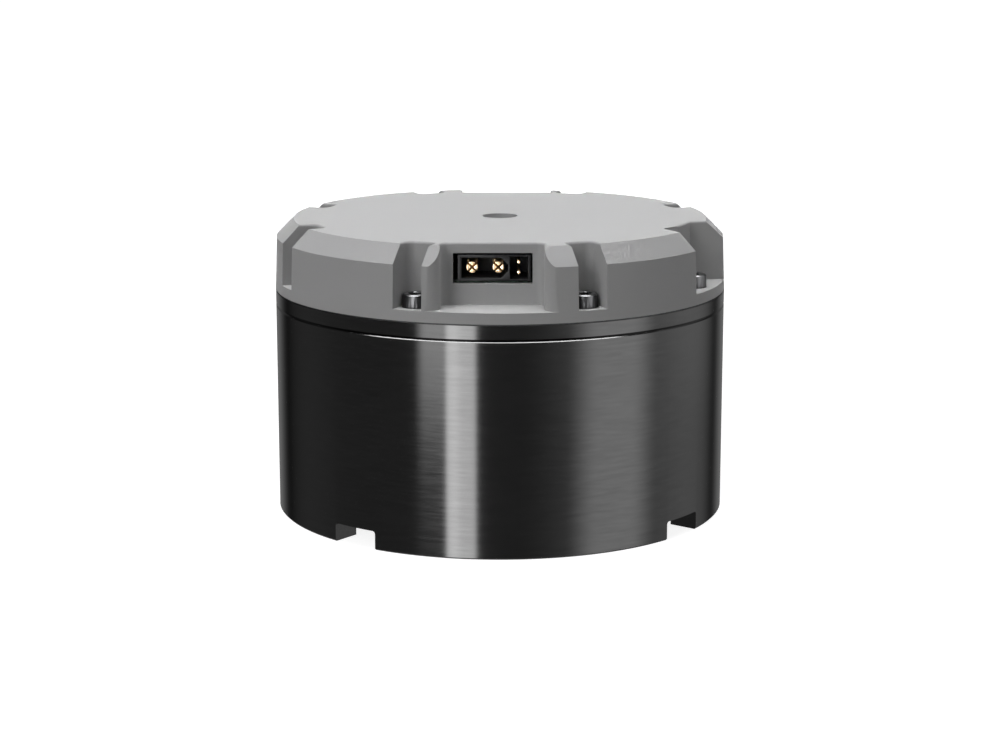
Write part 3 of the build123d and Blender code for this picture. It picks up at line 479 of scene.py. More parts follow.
# The rounding of a screw head's upper edge: how far in and how far down each corner lies, in millimetres.
HEAD_ROUNDING = ((0.0, 0.42), (0.05, 0.24), (0.17, 0.08), (0.34, 0.0))

# A metric thread as shares of its pitch: its depth, half its ridge at foot and crest, and its run-out.
THREAD_DEPTH = 0.61
THREAD_FOOT = 0.42
THREAD_CREST = 0.07
THREAD_RUN_OUT = 1.2

# The thread starts this share of the head's height below the head, and has this many flats a turn.
THREAD_START = 0.2
THREAD_FLATS = 16

# Each screw was tightened to its own angle, so no two sockets line up. In radians from one to the next.
SCREW_TWIST = 1.9


@dataclass(frozen=True)
class CapScrew:
    """A socket cap screw that hangs from its seat at z = 0, in millimetres.

    Shank and head are radii, across is the width of the socket across its flats. Chamfer is at the head's
    lower edge and the socket's mouth, tip at the shank's end, and neck where the shank meets the head.
    """

    shank: float
    head: float
    height: float
    across: float
    socket: float
    length: float
    pitch: float
    ridges: int = 32
    chamfer: float = 0.12
    tip: float = 0.2
    neck: float = 0.05
    knurl_share: float = 0.972
    drill_share: float = 0.25

    def template(self) -> Mesh:
        """Builds one screw.

        Returns:
            Its mesh.
        """
        bm = bmesh.new()
        self.turn_body(bm)
        self.knurl(bm)
        self.broach(bm)
        self.cut_thread(bm)
        return as_mesh(bm, "cap_screw")

    def root(self) -> float:
        """Gives the radius at the bottom of the thread."""
        return self.shank - THREAD_DEPTH * self.pitch

    def corner(self) -> float:
        """Gives the radius of the hexagonal socket's corners."""
        return self.across / math.sqrt(3)

    def turn_body(self, bm: BMesh) -> None:
        """Turns the shank with its chamfered tip and the head with its rounded upper edge."""
        root, head, height = self.root(), self.head, self.height
        points = [
            (0.0, -self.length),
            (root - self.tip, -self.length),
            (root, self.tip - self.length),
            (root, -self.neck),
            (root + self.neck, 0.0),
            (head - self.chamfer, 0.0),
            (head, self.chamfer),
            *((head - inward, height - down) for inward, down in HEAD_ROUNDING),
            (self.corner() + self.chamfer, height),
        ]
        turn_profile(bm, points, 2 * self.ridges)

    def knurl(self, bm: BMesh) -> None:
        """Presses every other column of the head's side in, which leaves its straight knurl."""
        for vert in bm.verts:
            side = vert.co.xy.length > self.head * MM - NEAR
            column = round(math.atan2(vert.co.y, vert.co.x) * self.ridges / math.pi)
            if side and column % 2:
                vert.co.xy *= self.knurl_share

    def broach(self, bm: BMesh) -> None:
        """Sinks the hexagonal socket, with a chamfered mouth and a drill point at its bottom."""
        top = self.height * MM
        rim = [e for e in bm.edges if e.is_boundary and all(abs(v.co.z - top) < NEAR for v in e.verts)]
        mouth = Matrix.Translation((0.0, 0.0, top - self.chamfer * MM))
        corner = self.corner() * MM
        made = bmesh.ops.create_circle(bm, cap_ends=False, segments=6, radius=corner, matrix=mouth)
        hexagon = edges_at(made["verts"])
        bmesh.ops.bridge_loops(bm, edges=rim + hexagon)
        bottom = extrude_loop(bm, hexagon, Vector((0.0, 0.0, (self.chamfer - self.socket) * MM)))
        floor = bmesh.ops.contextual_create(bm, geom=bottom)["faces"]
        bmesh.ops.poke(bm, faces=floor, offset=-self.drill_share * self.across * MM)

    def cut_thread(self, bm: BMesh) -> None:
        """Winds the thread's ridge round the shank as a helix."""
        # The ridge's foot lies a little inside the shank, so that the two make one solid form.
        foot, crest, pitch = (self.root() - self.neck) * MM, self.shank * MM, self.pitch * MM
        start = -THREAD_START * self.height * MM
        wide, flat = THREAD_FOOT * pitch, THREAD_CREST * pitch
        section = [(foot, -wide), (crest, -flat), (crest, flat), (foot, wide)]
        verts = [bm.verts.new((radius, 0.0, start + height)) for radius, height in section]
        edges = [bm.edges.new(pair) for pair in zip(verts, verts[1:] + verts[:1])]
        turns = (self.length * MM + start - THREAD_RUN_OUT * pitch) / pitch
        steps = round(turns * THREAD_FLATS)
        step = Vector((0.0, 0.0, -pitch / THREAD_FLATS))
        angle = steps * math.tau / THREAD_FLATS
        made = bmesh.ops.spin(
            bm, geom=verts + edges, axis=UP, cent=ORIGIN, dvec=step, angle=angle, steps=steps
        )
        for loop in (edges, only(made["geom_last"], BMEdge)):
            bmesh.ops.contextual_create(bm, geom=loop)


@dataclass(frozen=True)
class ScrewRing:
    """A circle of equal screws that stands for one CAD node."""

    node: str
    screw: CapScrew
    count: int
    start: float
    heads_up: bool = True

    def build(self, assembly: Assembly) -> Object:
        """Puts a detailed screw on each place of the node's circle.

        Args:
            assembly: The assembly that the screws join.

        Returns:
            The piece that holds them all.
        """
        low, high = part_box(self.node)
        angles = [math.radians(self.start + 360 * i / self.count) for i in range(self.count)]
        reach = max(math.cos(angle) for angle in angles)
        circle = (high.x - self.screw.head * MM) / reach
        height = self.screw.height * MM
        seat = high.z - height if self.heads_up else low.z + height
        facing = Matrix.Identity(4) if self.heads_up else Matrix.Rotation(math.pi, 4, "X")
        places = [
            Matrix.Rotation(angle, 4, "Z")
            @ Matrix.Translation((circle, 0.0, seat))
            @ Matrix.Rotation(SCREW_TWIST * i, 4, "Z")
            @ facing
            for i, angle in enumerate(angles)
        ]
        bm = bmesh.new()
        stamp(bm, self.screw.template(), places)
        mesh = as_mesh(bm, f"{self.node}_detailed")
        return assembly.add(mesh, "housing", NODE_SLOTS[self.node], self.node)


@dataclass(frozen=True)
class Connector:
    """A board connector and its pins, in millimetres from its lower left corner as seen from outside."""

    side: str
    turn: float
    edge_round: float = 0.1
    cavity_depth: float = 8.5
    power_cavity: Pair = (0.78, 9.61)
    power_height: float = 3.83
    key_chamfer: float = 1.3
    signal_cavity: Pair = (10.0, 13.4)
    signal_height: float = 4.3
    power_pins: Pair = (2.76, 7.76)
    power_radius: float = 1.1
    slot_width: float = 0.3
    slot_depth: float = 4.0
    signal_pin: float = 11.65
    signal_pitch: float = 2.0
    signal_radius: float = 0.33
    power_nose: float = 0.16
    signal_nose: float = 0.12
    pin_setback: float = 0.8
    pin_tail: float = 1.5

    def build(self, assembly: Assembly) -> None:
        """Builds the housing and the pins in place of their CAD nodes.

        Args:
            assembly: The assembly that they join.
        """
        # Both sides are the same connector, so the front one's box gives the sizes for both.
        low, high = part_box("connector_front")
        size = (high - low) / MM
        place = (
            Matrix.Rotation(math.radians(self.turn), 4, "Z")
            @ Matrix.Translation((low.x, low.y, low.z))
            @ Matrix.Rotation(math.pi / 2, 4, "X")
        )
        housing = self.housing(size)
        housing.transform(place)
        assembly.add(housing, "housing", "connector_plastic", f"connector_{self.side}")
        pins = self.pins(size)
        pins.transform(place)
        assembly.add(pins, "housing", "gold_plate", f"connector_pins_{self.side}")

    def rectangle(
        self, bm: BMesh, left: float, right: float, bottom: float, top: float, key: float = 0.0
    ) -> list[BMEdge]:
        """Draws a rectangle's outline, with its right corners cut off where it is keyed.

        Args:
            bm: The mesh to draw in.
            left: Its left edge.
            right: Its right edge.
            bottom: Its lower edge.
            top: Its upper edge.
            key: How much of the right corners is cut off.

        Returns:
            The outline's edges.
        """
        centre = Matrix.Translation(((left + right) / 2 * MM, (bottom + top) / 2 * MM, 0.0))
        spread = Matrix.Diagonal(((right - left) * MM, (top - bottom) * MM, 1.0, 1.0))
        face = add_square(bm, centre @ spread)
        corners = [vert for vert in face.verts if vert.co.x > (left + right) / 2 * MM]
        if key:
            bevel(bm, corners, key, 1, "VERTICES")
            face = max(bm.faces, key=lambda each: len(each.verts))
        edges = list(face.edges)
        bmesh.ops.delete(bm, geom=[face], context="FACES_ONLY")
        return edges

    def housing(self, size: Vector) -> Mesh:
        """Builds the moulded housing with its two cavities and softened edges.

        Args:
            size: Width, length and height of the housing.

        Returns:
            The mesh, with its front face at z = 0.
        """
        bm = bmesh.new()
        width, length, height = size
        middle = height / 2
        low, high = middle - self.power_height / 2, middle + self.power_height / 2
        power = self.rectangle(bm, *self.power_cavity, low, high, key=self.key_chamfer)
        low, high = middle - self.signal_height / 2, middle + self.signal_height / 2
        signal = self.rectangle(bm, *self.signal_cavity, low, high)
        outline = self.rectangle(bm, 0.0, width, 0.0, height)
        bmesh.ops.triangle_fill(bm, use_beauty=True, use_dissolve=False, edges=outline + power + signal)
        for loop, depth in ((power, self.cavity_depth), (signal, self.cavity_depth), (outline, length)):
            far = extrude_loop(bm, loop, Vector((0.0, 0.0, -depth * MM)))
            bmesh.ops.contextual_create(bm, geom=far)
        bmesh.ops.recalc_face_normals(bm, faces=bm.faces)
        bevel(bm, outline + power + signal, self.edge_round, 2)
        return as_mesh(bm, f"connector_{self.side}_housing")

    def pins(self, size: Vector) -> Mesh:
        """Builds two crowned power pins, split crosswise, and two bullet-nosed signal pins.

        Args:
            size: Width, length and height of the housing.

        Returns:
            The mesh, with the housing's front face at z = 0.
        """
        middle = size.z / 2 * MM
        length = size.y + self.pin_tail - self.pin_setback
        front = -self.pin_setback * MM
        power = [Matrix.Translation((x * MM, middle, front)) for x in self.power_pins]
        pitch = self.signal_pitch / 2 * MM
        signal = [Matrix.Translation((self.signal_pin * MM, middle + y, front)) for y in (-pitch, pitch)]
        # The slots run at 45 degrees, and the four spring quarters differ only by their turn.
        turns = [Matrix.Rotation(math.radians(45 + 90 * i), 4, "Z") for i in range(4)]
        bm = bmesh.new()
        stamp(bm, self.quarter(), [place @ turn for place in power for turn in turns])
        back = Matrix.Translation((0.0, 0.0, -self.slot_depth * MM))
        behind = [place @ back for place in power]
        stamp(bm, self.rod(self.power_radius, length - self.slot_depth, self.edge_round / 2), behind)
        stamp(bm, self.rod(self.signal_radius, length, self.signal_nose), signal)
        return as_mesh(bm, f"connector_{self.side}_pins")

    def quarter(self) -> Mesh:
        """Cuts one spring quarter of a power pin out of a disc and rounds its front."""
        bm = bmesh.new()
        bmesh.ops.create_circle(bm, cap_ends=True, segments=64, radius=self.power_radius * MM)
        for side in (Vector((1.0, 0.0, 0.0)), Vector((0.0, 1.0, 0.0))):
            geom = list(bm.verts) + list(bm.edges) + list(bm.faces)
            cut = side * (self.slot_width / 2 * MM)
            bmesh.ops.bisect_plane(bm, geom=geom, plane_co=cut, plane_no=side, clear_inner=True)
        made = bmesh.ops.extrude_face_region(bm, geom=list(bm.faces))["geom"]
        back = Vector((0.0, 0.0, -self.slot_depth * MM))
        bmesh.ops.translate(bm, verts=only(made, BMVert), vec=back)
        nose = [edge for edge in bm.edges if all(abs(vert.co.z) < NEAR for vert in edge.verts)]
        bevel(bm, nose, self.power_nose, 3)
        return as_mesh(bm, "quarter")

    def rod(self, radius: float, length: float, nose: float) -> Mesh:
        """Turns a round rod that runs back from z = 0, with a rounded nose and a chamfered tail.

        Args:
            radius: Its radius.
            length: Its length.
            nose: The radius of its nose's rounding.

        Returns:
            The mesh.
        """
        bend = [math.radians(angle) for angle in (0.0, 30.0, 60.0, 90.0)]
        points = [(0.0, 0.0)]
        points += [(radius - nose + nose * math.sin(a), nose * math.cos(a) - nose) for a in bend]
        points += [(radius, nose - length), (radius - nose, -length), (0.0, -length)]
        bm = bmesh.new()
        turn_profile(bm, points, 32)
        return as_mesh(bm, "rod")


@dataclass(frozen=True)
class Windings:
    """The stator's coils, wound turn by turn round each tooth, in millimetres."""

    teeth: int = 18
    wire: float = 0.78
    wire_flats: int = 6
    turns: int = 4
    layers: int = 3
    tooth_width: float = 4.2
    liner: float = 0.3
    bend: float = 1.0
    yoke_clearance: float = 0.1

    def build(self, assembly: Assembly) -> Object:
        """Winds every coil inside the box of its CAD node.

        Args:
            assembly: The assembly that the windings join.

        Returns:
            The piece.
        """
        low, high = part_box("stator_windings")
        core_low, core_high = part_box("stator_core")
        middle = (low.z + high.z) / 2 / MM
        core = (core_high.z - core_low.z) / MM
        # The node's outermost corner lies on a coil's outer face, whose middle is on the box's X side.
        outer = high.x / MM - self.yoke_clearance
        first = outer - self.wire / 2 - (self.turns - 1) * self.wire
        bm = bmesh.new()
        for layer in range(self.layers):
            offset = self.liner + self.wire * (layer + 0.5)
            width = self.tooth_width + 2 * offset
            height = core + 2 * offset
            # Every other layer starts half a wire further out and has a turn less, to lie in the one below.
            odd = layer % 2
            begin = first + odd * self.wire / 2
            places = [
                Matrix.Rotation(math.tau * tooth / self.teeth, 4, "Z")
                @ Matrix.Translation(((begin + i * self.wire) * MM, 0.0, middle * MM))
                for tooth in range(self.teeth)
                for i in range(self.turns - odd)
            ]
            stamp(bm, self.loop(width, height, self.bend + offset / 2), places)
        mesh = as_mesh(bm, "stator_windings_wound")
        return assembly.add(mesh, "housing", "copper_enamel", "stator_windings")

    def loop(self, width: float, height: float, bend: float) -> Mesh:
        """Bends one turn of wire into a rounded rectangle round the X axis.

        Args:
            width: Width between the middles of its straight sides, along Y.
            height: Height between the middles of its ends, along Z.
            bend: Radius of its corners.

        Returns:
            The mesh.
        """
        bm = bmesh.new()
        side, end = width / 2, height / 2
        section = Matrix.Translation((0.0, side * MM, 0.0))
        made = bmesh.ops.create_circle(
            bm, cap_ends=False, segments=self.wire_flats, radius=self.wire / 2 * MM, matrix=section
        )
        edges = edges_at(made["verts"])
        up, across = Vector((0.0, 0.0, (end - bend) * MM)), Vector((0.0, 2 * (bend - side) * MM, 0.0))
        runs = ((up, 1, 1), (across, -1, 1), (-2 * up, -1, -1), (-across, 1, -1))
        for move, right, top in runs:
            edges = extrude_loop(bm, edges, move)
            centre = Vector((0.0, right * (side - bend), top * (end - bend))) * MM
            edges = self.corner(bm, edges, centre)
        extrude_loop(bm, edges, up)
        bmesh.ops.remove_doubles(bm, verts=bm.verts, dist=NEAR / 2)
        return as_mesh(bm, "turn")

    def corner(self, bm: BMesh, edges: Sequence[BMEdge], centre: Vector) -> list[BMEdge]:
        """Spins the wire's end a quarter turn round a corner's centre.

        Args:
            bm: The mesh that holds the wire.
            edges: The loop at the wire's end.
            centre: The corner's centre.

        Returns:
            The loop at the wire's new end.
        """
        verts = list({vert for edge in edges for vert in edge.verts})
        made = bmesh.ops.spin(
            bm, geom=verts + list(edges), axis=(1.0, 0.0, 0.0), cent=centre, angle=math.pi / 2, steps=3
        )
        return only(made["geom_last"], BMEdge)


@dataclass(frozen=True)
class ChipLegs:
    """The bent legs of the controller chip, in millimetres.

    Shoulder is a leg's level run from the chip's side, and slope how far it leans out on its way down.
    """

    per_side: int = 12
    pitch: float = 0.65
    width: float = 0.28
    thickness: float = 0.15
    reach: float = 0.9
    rise: float = 0.6
    root: float = 0.05
    shoulder: float = 0.3
    slope: float = 0.2

    def build(self, assembly: Assembly) -> Object:
        """Puts a row of legs on each side of the chip.

        Args:
            assembly: The assembly that the legs join.

        Returns:
            The piece.
        """
        low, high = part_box("controller_chip")
        centre = Vector(((low.x + high.x) / 2, (low.y + high.y) / 2, low.z))
        half = (high.x - low.x) / 2
        shifts = [(i - (self.per_side - 1) / 2) * self.pitch * MM for i in range(self.per_side)]
        places = [
            Matrix.Translation(centre)
            @ Matrix.Rotation(math.pi / 2 * side, 4, "Z")
            @ Matrix.Translation((half, shift, 0.0))
            for side in range(4)
            for shift in shifts
        ]
        bm = bmesh.new()
        stamp(bm, self.leg(), places)
        return assembly.add(as_mesh(bm, "controller_legs"), "housing", "bright_steel")

    def leg(self) -> Mesh:
        """Draws one leg out of the chip's side, down to the board and along it."""
        bm = bmesh.new()
        start = (
            Matrix.Translation((-self.root * MM, 0.0, self.rise * MM))
            @ Matrix.Rotation(math.pi / 2, 4, "Y")
            @ Matrix.Diagonal((self.thickness * MM, self.width * MM, 1.0, 1.0))
        )
        edges = list(add_square(bm, start).edges)
        drop = self.rise - self.thickness / 2
        foot = self.reach - self.shoulder - self.slope
        for x, z in ((self.shoulder, 0.0), (self.slope, -drop), (foot, 0.0)):
            edges = extrude_loop(bm, edges, Vector((x * MM, 0.0, z * MM)))
        bmesh.ops.contextual_create(bm, geom=edges)
        return as_mesh(bm, "leg")


@dataclass(frozen=True)
class CoverWell:
    """The cover with the well at its right opened further to the front, as in the photograph.

    The plans are corners in millimetres, out along the well's axis and across it towards the front. The
    axis is in degrees from the front. The wall closes the cavity behind the deeper corner, from wall_foot
    above the cover's lower side to top_wall below its top, and the cut stops at the flange.
    """

    axis: float = 67.5
    flange: float = 2.4
    wall_foot: float = 0.1
    top_wall: float = 0.6
    cut: tuple[Pair, ...] = (
        (38.5, 0.0), (37.0, 3.6), (36.9, 4.4), (37.3, 5.1), (41.2, 8.2), (45.0, 8.55), (48.0, 9.5),
        (50.0, 9.5), (50.0, 0.0),
    )
    wall: tuple[Pair, ...] = (
        (37.6, 0.2), (36.1, 3.3), (36.2, 5.6), (39.3, 9.6), (40.4, 9.9), (40.4, 0.2),
    )

    def build(self, assembly: Assembly) -> Object:
        """Walls off the cavity, cuts the well and stands the result in the CAD cover's place.

        Args:
            assembly: The assembly that the cover joins.

        Returns:
            The piece.
        """
        low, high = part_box("rear_cover")
        cover = frame["nodes"]["rear_cover"].data.copy()
        # The normals and sharp edges that came with the mesh would not fit its new shape.
        for name in ("custom_normal", "sharp_edge", "sharp_face"):
            if name in cover.attributes:
                cover.attributes.remove(cover.attributes[name])
        bm = bmesh.new()
        bm.from_mesh(cover)
        bmesh.ops.remove_doubles(bm, verts=bm.verts, dist=MERGE)
        bm.to_mesh(cover)
        bm.free()
        wall = self.prism(self.wall, low.z + self.wall_foot * MM, high.z - self.top_wall * MM)
        well = self.prism(self.cut, low.z + self.flange * MM, high.z + MM)
        mesh = self.combine(self.combine(cover, wall, "UNION"), well, "DIFFERENCE")
        mesh.name = "rear_cover_detailed"
        mesh.materials.clear()
        piece = assembly.add(mesh, "housing", "silver_anodised", "rear_cover")
        # Flat faces keep their own normals beside the small roundings.
        piece.modifiers.new("even_shading", "WEIGHTED_NORMAL").keep_sharp = True
        return piece

    def prism(self, plan: Sequence[Pair], low: float, high: float) -> Mesh:
        """Raises a plan beside the well's axis into a prism.

        Args:
            plan: The plan's corners.
            low: Height of its lower end in metres.
            high: Height of its upper end in metres.

        Returns:
            The prism in place.
        """
        bm = bmesh.new()
        verts = [bm.verts.new((out * MM, -across * MM, low)) for out, across in plan]
        face = bmesh.ops.contextual_create(bm, geom=verts)["faces"]
        made = bmesh.ops.extrude_face_region(bm, geom=face)["geom"]
        bmesh.ops.translate(bm, verts=only(made, BMVert), vec=(0.0, 0.0, high - low))
        mesh = as_mesh(bm, "prism")
        mesh.transform(Matrix.Rotation(math.radians(self.axis - 90), 4, "Z"))
        return mesh

    def combine(self, base: Mesh, tool: Mesh, operation: str) -> Mesh:
        """Joins two solids or cuts one out of the other.

        Args:
            base: The solid to work on.
            tool: The other solid.
            operation: Blender's name for the kind of combination.

        Returns:
            The new solid.
        """
        parts = [add_object(mesh.name, mesh) for mesh in (base, tool)]
        step = parts[0].modifiers.new("combine", "BOOLEAN")
        step.object = parts[1]
        step.operation = operation
        step.solver = "EXACT"
        depsgraph = bpy.context.evaluated_depsgraph_get()
        mesh = bpy.data.meshes.new_from_object(parts[0].evaluated_get(depsgraph))
        for part in parts:
            old = part.data
            bpy.data.objects.remove(part)
            bpy.data.meshes.remove(old)
        return mesh


# Screws by thread: shank, head, height, socket across flats, socket depth, length and pitch.
M3_SCREW = CapScrew(1.5, 2.75, 3.0, 2.5, 1.5, 8.0, 0.5)
M2_5_SCREW = CapScrew(1.25, 2.25, 2.5, 2.0, 1.2, 6.5, 0.45)
M2_5_LOW_SCREW = CapScrew(1.25, 2.25, 1.5, 2.0, 0.8, 5.5, 0.45, ridges=24)
M2_SCREW = CapScrew(1.0, 1.9, 1.2, 1.5, 0.7, 5.0, 0.4, ridges=24)

SCREW_RINGS = (
    ScrewRing("cover_screws", M3_SCREW, 8, 22.5),
    ScrewRing("gearbox_screws", M2_5_SCREW, 8, 22.5, heads_up=False),
    ScrewRing("cap_screws", M2_SCREW, 6, 0.0),
    ScrewRing("board_screws", M2_5_LOW_SCREW, 4, 45.0),
)


@dataclass(frozen=True)
class Card:
    """A bright card in the surround, which only gloss sees.

    Middle, half width and the width of its soft edges are in degrees from the front towards +X. Low is how
    bright its lower end is, as a share of its strength.
    """

    middle: float
    half: float
    edge: float
    strength: float
    low: float = 1.0


# The bright and dark bands that the black body mirrors in the photograph, as cards round it.
CARDS = (
    Card(0.0, 120.0, 50.0, 0.4),
    Card(180.0, 35.0, 20.0, 0.22),
    Card(-19.1, 7.4, 2.0, 13.0),
    Card(-23.5, 3.2, 5.0, 3.8),
    Card(-33.5, 6.5, 6.0, 9.0, low=0.0),
    Card(76.0, 43.0, 50.0, 1.65, low=0.6),
    Card(59.0, 18.0, 18.0, 3.2),
)


@dataclass
class Studio:
    """Camera, lamps and floor, in metres. Only the camera's place comes from the photograph.

    Fade_low and fade_high are the heights between which the cards' lower ends fade. Tones and lights are
    shares of white. The paper's glow is held at shade_light as far as shade_near, a painted shadow round
    the object, and is full from shade_far on.
    """

    camera_place: Triple = (0.0, -0.4712, 0.1257)
    camera_tilt: float = 78.103
    lens: float = 83.4
    floor_size: float = 6.0
    surround_radius: float = 1.6
    surround_flats: int = 64
    fade_low: float = -0.34
    fade_high: float = -0.27
    room_light: float = 0.19
    paper_tone: float = 0.22
    shadow_tone: float = 0.35
    shade_light: float = 0.88
    shade_near: float = 0.06
    shade_far: float = 0.3

    def build(self) -> None:
        """Sets up the whole studio."""
        self.camera()
        self.world()
        self.floor()
        self.lamp("overhead", (-0.05, 0.0, 0.9), 0.9, 5.3)
        self.lamp("left_front", (-0.55, -0.75, 0.6), 0.5, 3.7)
        self.lamp("right_side", (0.9, -0.2, 0.5), 0.5, 0.4)
        self.surround()
        # The ceiling lights up the chamfers of the black parts, and the sheet below shows the underside.
        self.glow("ceiling", (-0.05, -0.05, 1.5), (2.1, 0.9), 36.0)
        self.glow("underlight", (0.0, 0.0, -1.5), (1.6, 1.6), 0.7)
        bpy.context.scene.view_settings.view_transform = "Standard"

    def camera(self) -> None:
        """Places the camera where the photograph was taken from."""
        data = bpy.data.cameras.new("camera")
        data.lens = self.lens
        data.sensor_width = 36.0
        data.clip_start = 0.01
        camera = add_object("camera", data)
        camera.location = self.camera_place
        camera.rotation_euler = (math.radians(self.camera_tilt), 0.0, 0.0)
        bpy.context.scene.camera = camera

    def world(self) -> None:
        """Gives a white background to the camera and a dim grey room to everything else."""
        world = bpy.data.worlds.new("studio")
        tree = empty_tree(world)
        path = add_node(tree, "ShaderNodeLightPath", {})
        room = add_node(tree, "ShaderNodeBackground", {"Strength": self.room_light})
        white = add_node(tree, "ShaderNodeBackground", {"Color": (1.0, 1.0, 1.0, 1.0), "Strength": 1.0})
        seen = add_node(tree, "ShaderNodeMixShader", {
            0: path.outputs["Is Camera Ray"],
            1: room.outputs[0],
            2: white.outputs[0],
        })
        add_node(tree, "ShaderNodeOutputWorld", {"Surface": seen.outputs[0]})
        bpy.context.scene.world = world

    def sheet(self, name: str, material_name: str, bm: BMesh) -> tuple[Object, NodeTree]:
        """Adds a sheet of the studio with an empty material.

        Args:
            name: The sheet's name.
            material_name: The material's name.
            bm: Its mesh, which is freed.

        Returns:
            The sheet and its material's node tree.
        """
        mesh = bpy.data.meshes.new(name)
        bm.to_mesh(mesh)
        bm.free()
        material = bpy.data.materials.new(material_name)
        mesh.materials.append(material)
        sheet = add_object(name, mesh)
        return sheet, empty_tree(material)

    def floor(self) -> None:
        """Lays a pale floor that keeps the object's shadow, deepened by a painted shadow near it, and lets
        gloss see the room below it.
        """
        bm = bmesh.new()
        add_square(bm, Matrix.Scale(self.floor_size, 4))
        # White paper that glows for the camera, with a painted shadow where the glow is a little less near
        # the object, over the real shadow that its diffuse part catches.
        _, tree = self.sheet("floor", "glowing_paper_painted_shadow", bm)
        path = add_node(tree, "ShaderNodeLightPath", {})
        side = add_node(tree, "ShaderNodeNewGeometry", {})
        place = add_node(tree, "ShaderNodeTexCoord", {}).outputs["Object"]
        away = add_node(tree, "ShaderNodeVectorMath", {0: place}, operation="LENGTH")
        # The camera glow's strength, lower near the object: a painted shadow.
        light = add_node(tree, "ShaderNodeMapRange", {
            "Value": away.outputs["Value"],
            "From Min": self.shade_near,
            "From Max": self.shade_far,
            "To Min": self.shade_light,
            "To Max": 1.0,
        })
        paper, shadow = (
            add_node(tree, "ShaderNodeBsdfDiffuse", {"Color": (tone, tone, tone, 1.0)})
            for tone in (self.paper_tone, self.shadow_tone)
        )
        glow = add_node(tree, "ShaderNodeEmission", {"Strength": light.outputs[0]})
        bright = add_node(tree, "ShaderNodeAddShader", {0: shadow.outputs[0], 1: glow.outputs[0]})
        shown = add_node(tree, "ShaderNodeMixShader", {
            0: path.outputs["Is Camera Ray"],
            1: paper.outputs[0],
            2: bright.outputs[0],
        })
        clear = add_node(tree, "ShaderNodeBsdfTransparent", {})
        open_to = add_node(tree, "ShaderNodeMath", {
            0: path.outputs["Is Glossy Ray"],
            1: side.outputs["Backfacing"],
        }, operation="MAXIMUM")
        surface = add_node(
            tree, "ShaderNodeMixShader", {0: open_to.outputs[0], 1: shown.outputs[0], 2: clear.outputs[0]}
        )
        add_node(tree, "ShaderNodeOutputMaterial", {"Surface": surface.outputs[0]})

    def lamp(self, name: str, place: Triple, size: float, power: float) -> None:
        """Adds one square area lamp that points at the object.

        Args:
            name: The lamp's name.
            place: Where it hangs.
            size: The length of its side.
            power: Its power in watts.
        """
        data = bpy.data.lights.new(name, "AREA")
        data.size = size
        data.energy = power
        lamp = add_object(name, data)
        lamp.location = place
        middle = Vector((0.0, 0.0, 0.03))
        lamp.rotation_euler = (middle - Vector(place)).to_track_quat("-Z", "Y").to_euler()
        lamp.visible_camera = False

    def gloss_only(self, sheet: Object) -> None:
        """Hides a glowing sheet from everything but gloss, so that it puts no light on the object."""
        sheet.active_material.cycles.emission_sampling = "NONE"
        for ray in ("camera", "diffuse", "shadow", "transmission"):
            setattr(sheet, f"visible_{ray}", False)

    def surround(self) -> None:
        """Stands a drum round the object that glows where its cards are."""
        bm = bmesh.new()
        radius = self.surround_radius / MM
        turn_profile(bm, [(radius, -radius), (radius, radius)], self.surround_flats)
        # Soft-edged white cards, which draw the bright bands on the black body.
        drum, tree = self.sheet("surround", "glowing_cards", bm)
        place = add_node(tree, "ShaderNodeTexCoord", {}).outputs["Object"]
        split = add_node(tree, "ShaderNodeSeparateXYZ", {"Vector": place})
        ahead = add_node(tree, "ShaderNodeMath", {0: split.outputs["Y"], 1: -1.0}, operation="MULTIPLY")
        angle = add_node(
            tree, "ShaderNodeMath", {0: split.outputs["X"], 1: ahead.outputs[0]}, operation="ARCTAN2"
        )
        total: Any = 0.0
        for card in CARDS:
            band = self.band(tree, card, angle.outputs[0], split.outputs["Z"])
            total = add_node(tree, "ShaderNodeMath", {0: total, 1: band}, operation="ADD").outputs[0]
        glow = add_node(tree, "ShaderNodeEmission", {"Strength": total})
        add_node(tree, "ShaderNodeOutputMaterial", {"Surface": glow.outputs[0]})
        self.gloss_only(drum)

    def band(self, tree: NodeTree, card: Card, angle: NodeSocket, height: NodeSocket) -> NodeSocket:
        """Works out how bright one card is at an angle and a height round the object.

        Args:
            tree: The surround's node tree.
            card: The card.
            angle: The socket that gives the angle in radians.
            height: The socket that gives the height in metres.

        Returns:
            The socket that gives the card's brightness.
        """
        middle = math.radians(card.middle)
        shift = add_node(tree, "ShaderNodeMath", {0: angle, 1: middle}, operation="SUBTRACT")
        turned = add_node(
            tree, "ShaderNodeMath", {0: shift.outputs[0], 1: math.pi, 2: -math.pi}, operation="WRAP"
        )
        away = add_node(tree, "ShaderNodeMath", {0: turned.outputs[0]}, operation="ABSOLUTE")
        fade = add_node(tree, "ShaderNodeMapRange", {
            "Value": height,
            "From Min": self.fade_low,
            "From Max": self.fade_high,
            "To Min": card.strength * card.low,
            "To Max": card.strength,
        })
        bright = add_node(tree, "ShaderNodeMapRange", {
            "Value": away.outputs[0],
            "From Min": math.radians(card.half - card.edge / 2),
            "From Max": math.radians(card.half + card.edge / 2),
            "To Min": fade.outputs[0],
            "To Max": 0.0,
        }, interpolation_type="SMOOTHSTEP")
        return bright.outputs[0]

    def glow(self, name: str, place: Triple, size: Pair, strength: float) -> None:
        """Adds a level glowing sheet for gloss alone.

        Args:
            name: The sheet's name.
            place: Its centre.
            size: Its width and depth.
            strength: How bright it glows.
        """
        bm = bmesh.new()
        add_square(bm, Matrix.Translation(place) @ Matrix.Diagonal((*size, 1.0, 1.0)))
        # An even white glow, which lies as a soft sheen on level and sloping gloss.
        sheet, tree = self.sheet(name, f"glowing_{name}", bm)
        light = add_node(tree, "ShaderNodeEmission", {"Strength": strength})
        add_node(tree, "ShaderNodeOutputMaterial", {"Surface": light.outputs[0]})
        self.gloss_only(sheet)


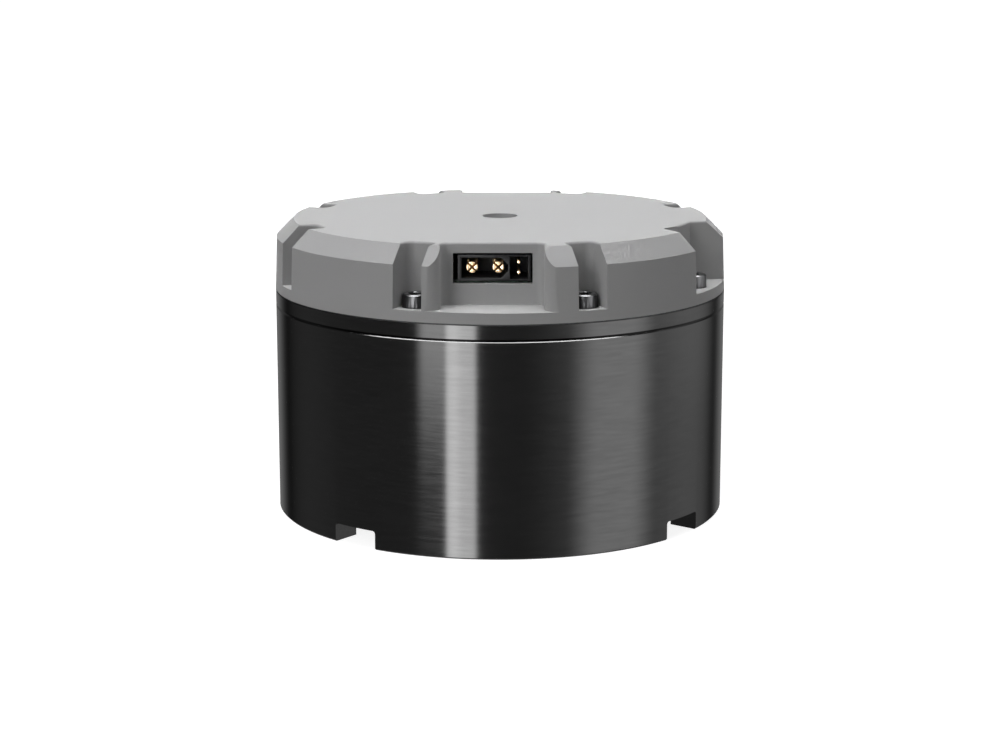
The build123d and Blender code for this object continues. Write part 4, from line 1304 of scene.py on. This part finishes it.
def main() -> None:
    """Dresses the frame, builds the detailed pieces and sets up the studio."""
    logging.basicConfig(level=logging.INFO, format="%(message)s")
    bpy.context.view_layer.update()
    wardrobe = Wardrobe()
    LOG.info("dressed %d nodes", wardrobe.dress_nodes())
    assembly = Assembly(wardrobe)
    for ring in SCREW_RINGS:
        ring.build(assembly)
    Connector("front", 0.0).build(assembly)
    Connector("back", 180.0).build(assembly)
    Windings().build(assembly)
    ChipLegs().build(assembly)
    CoverWell().build(assembly)
    Studio().build()


if __name__ == "__main__":
    main()
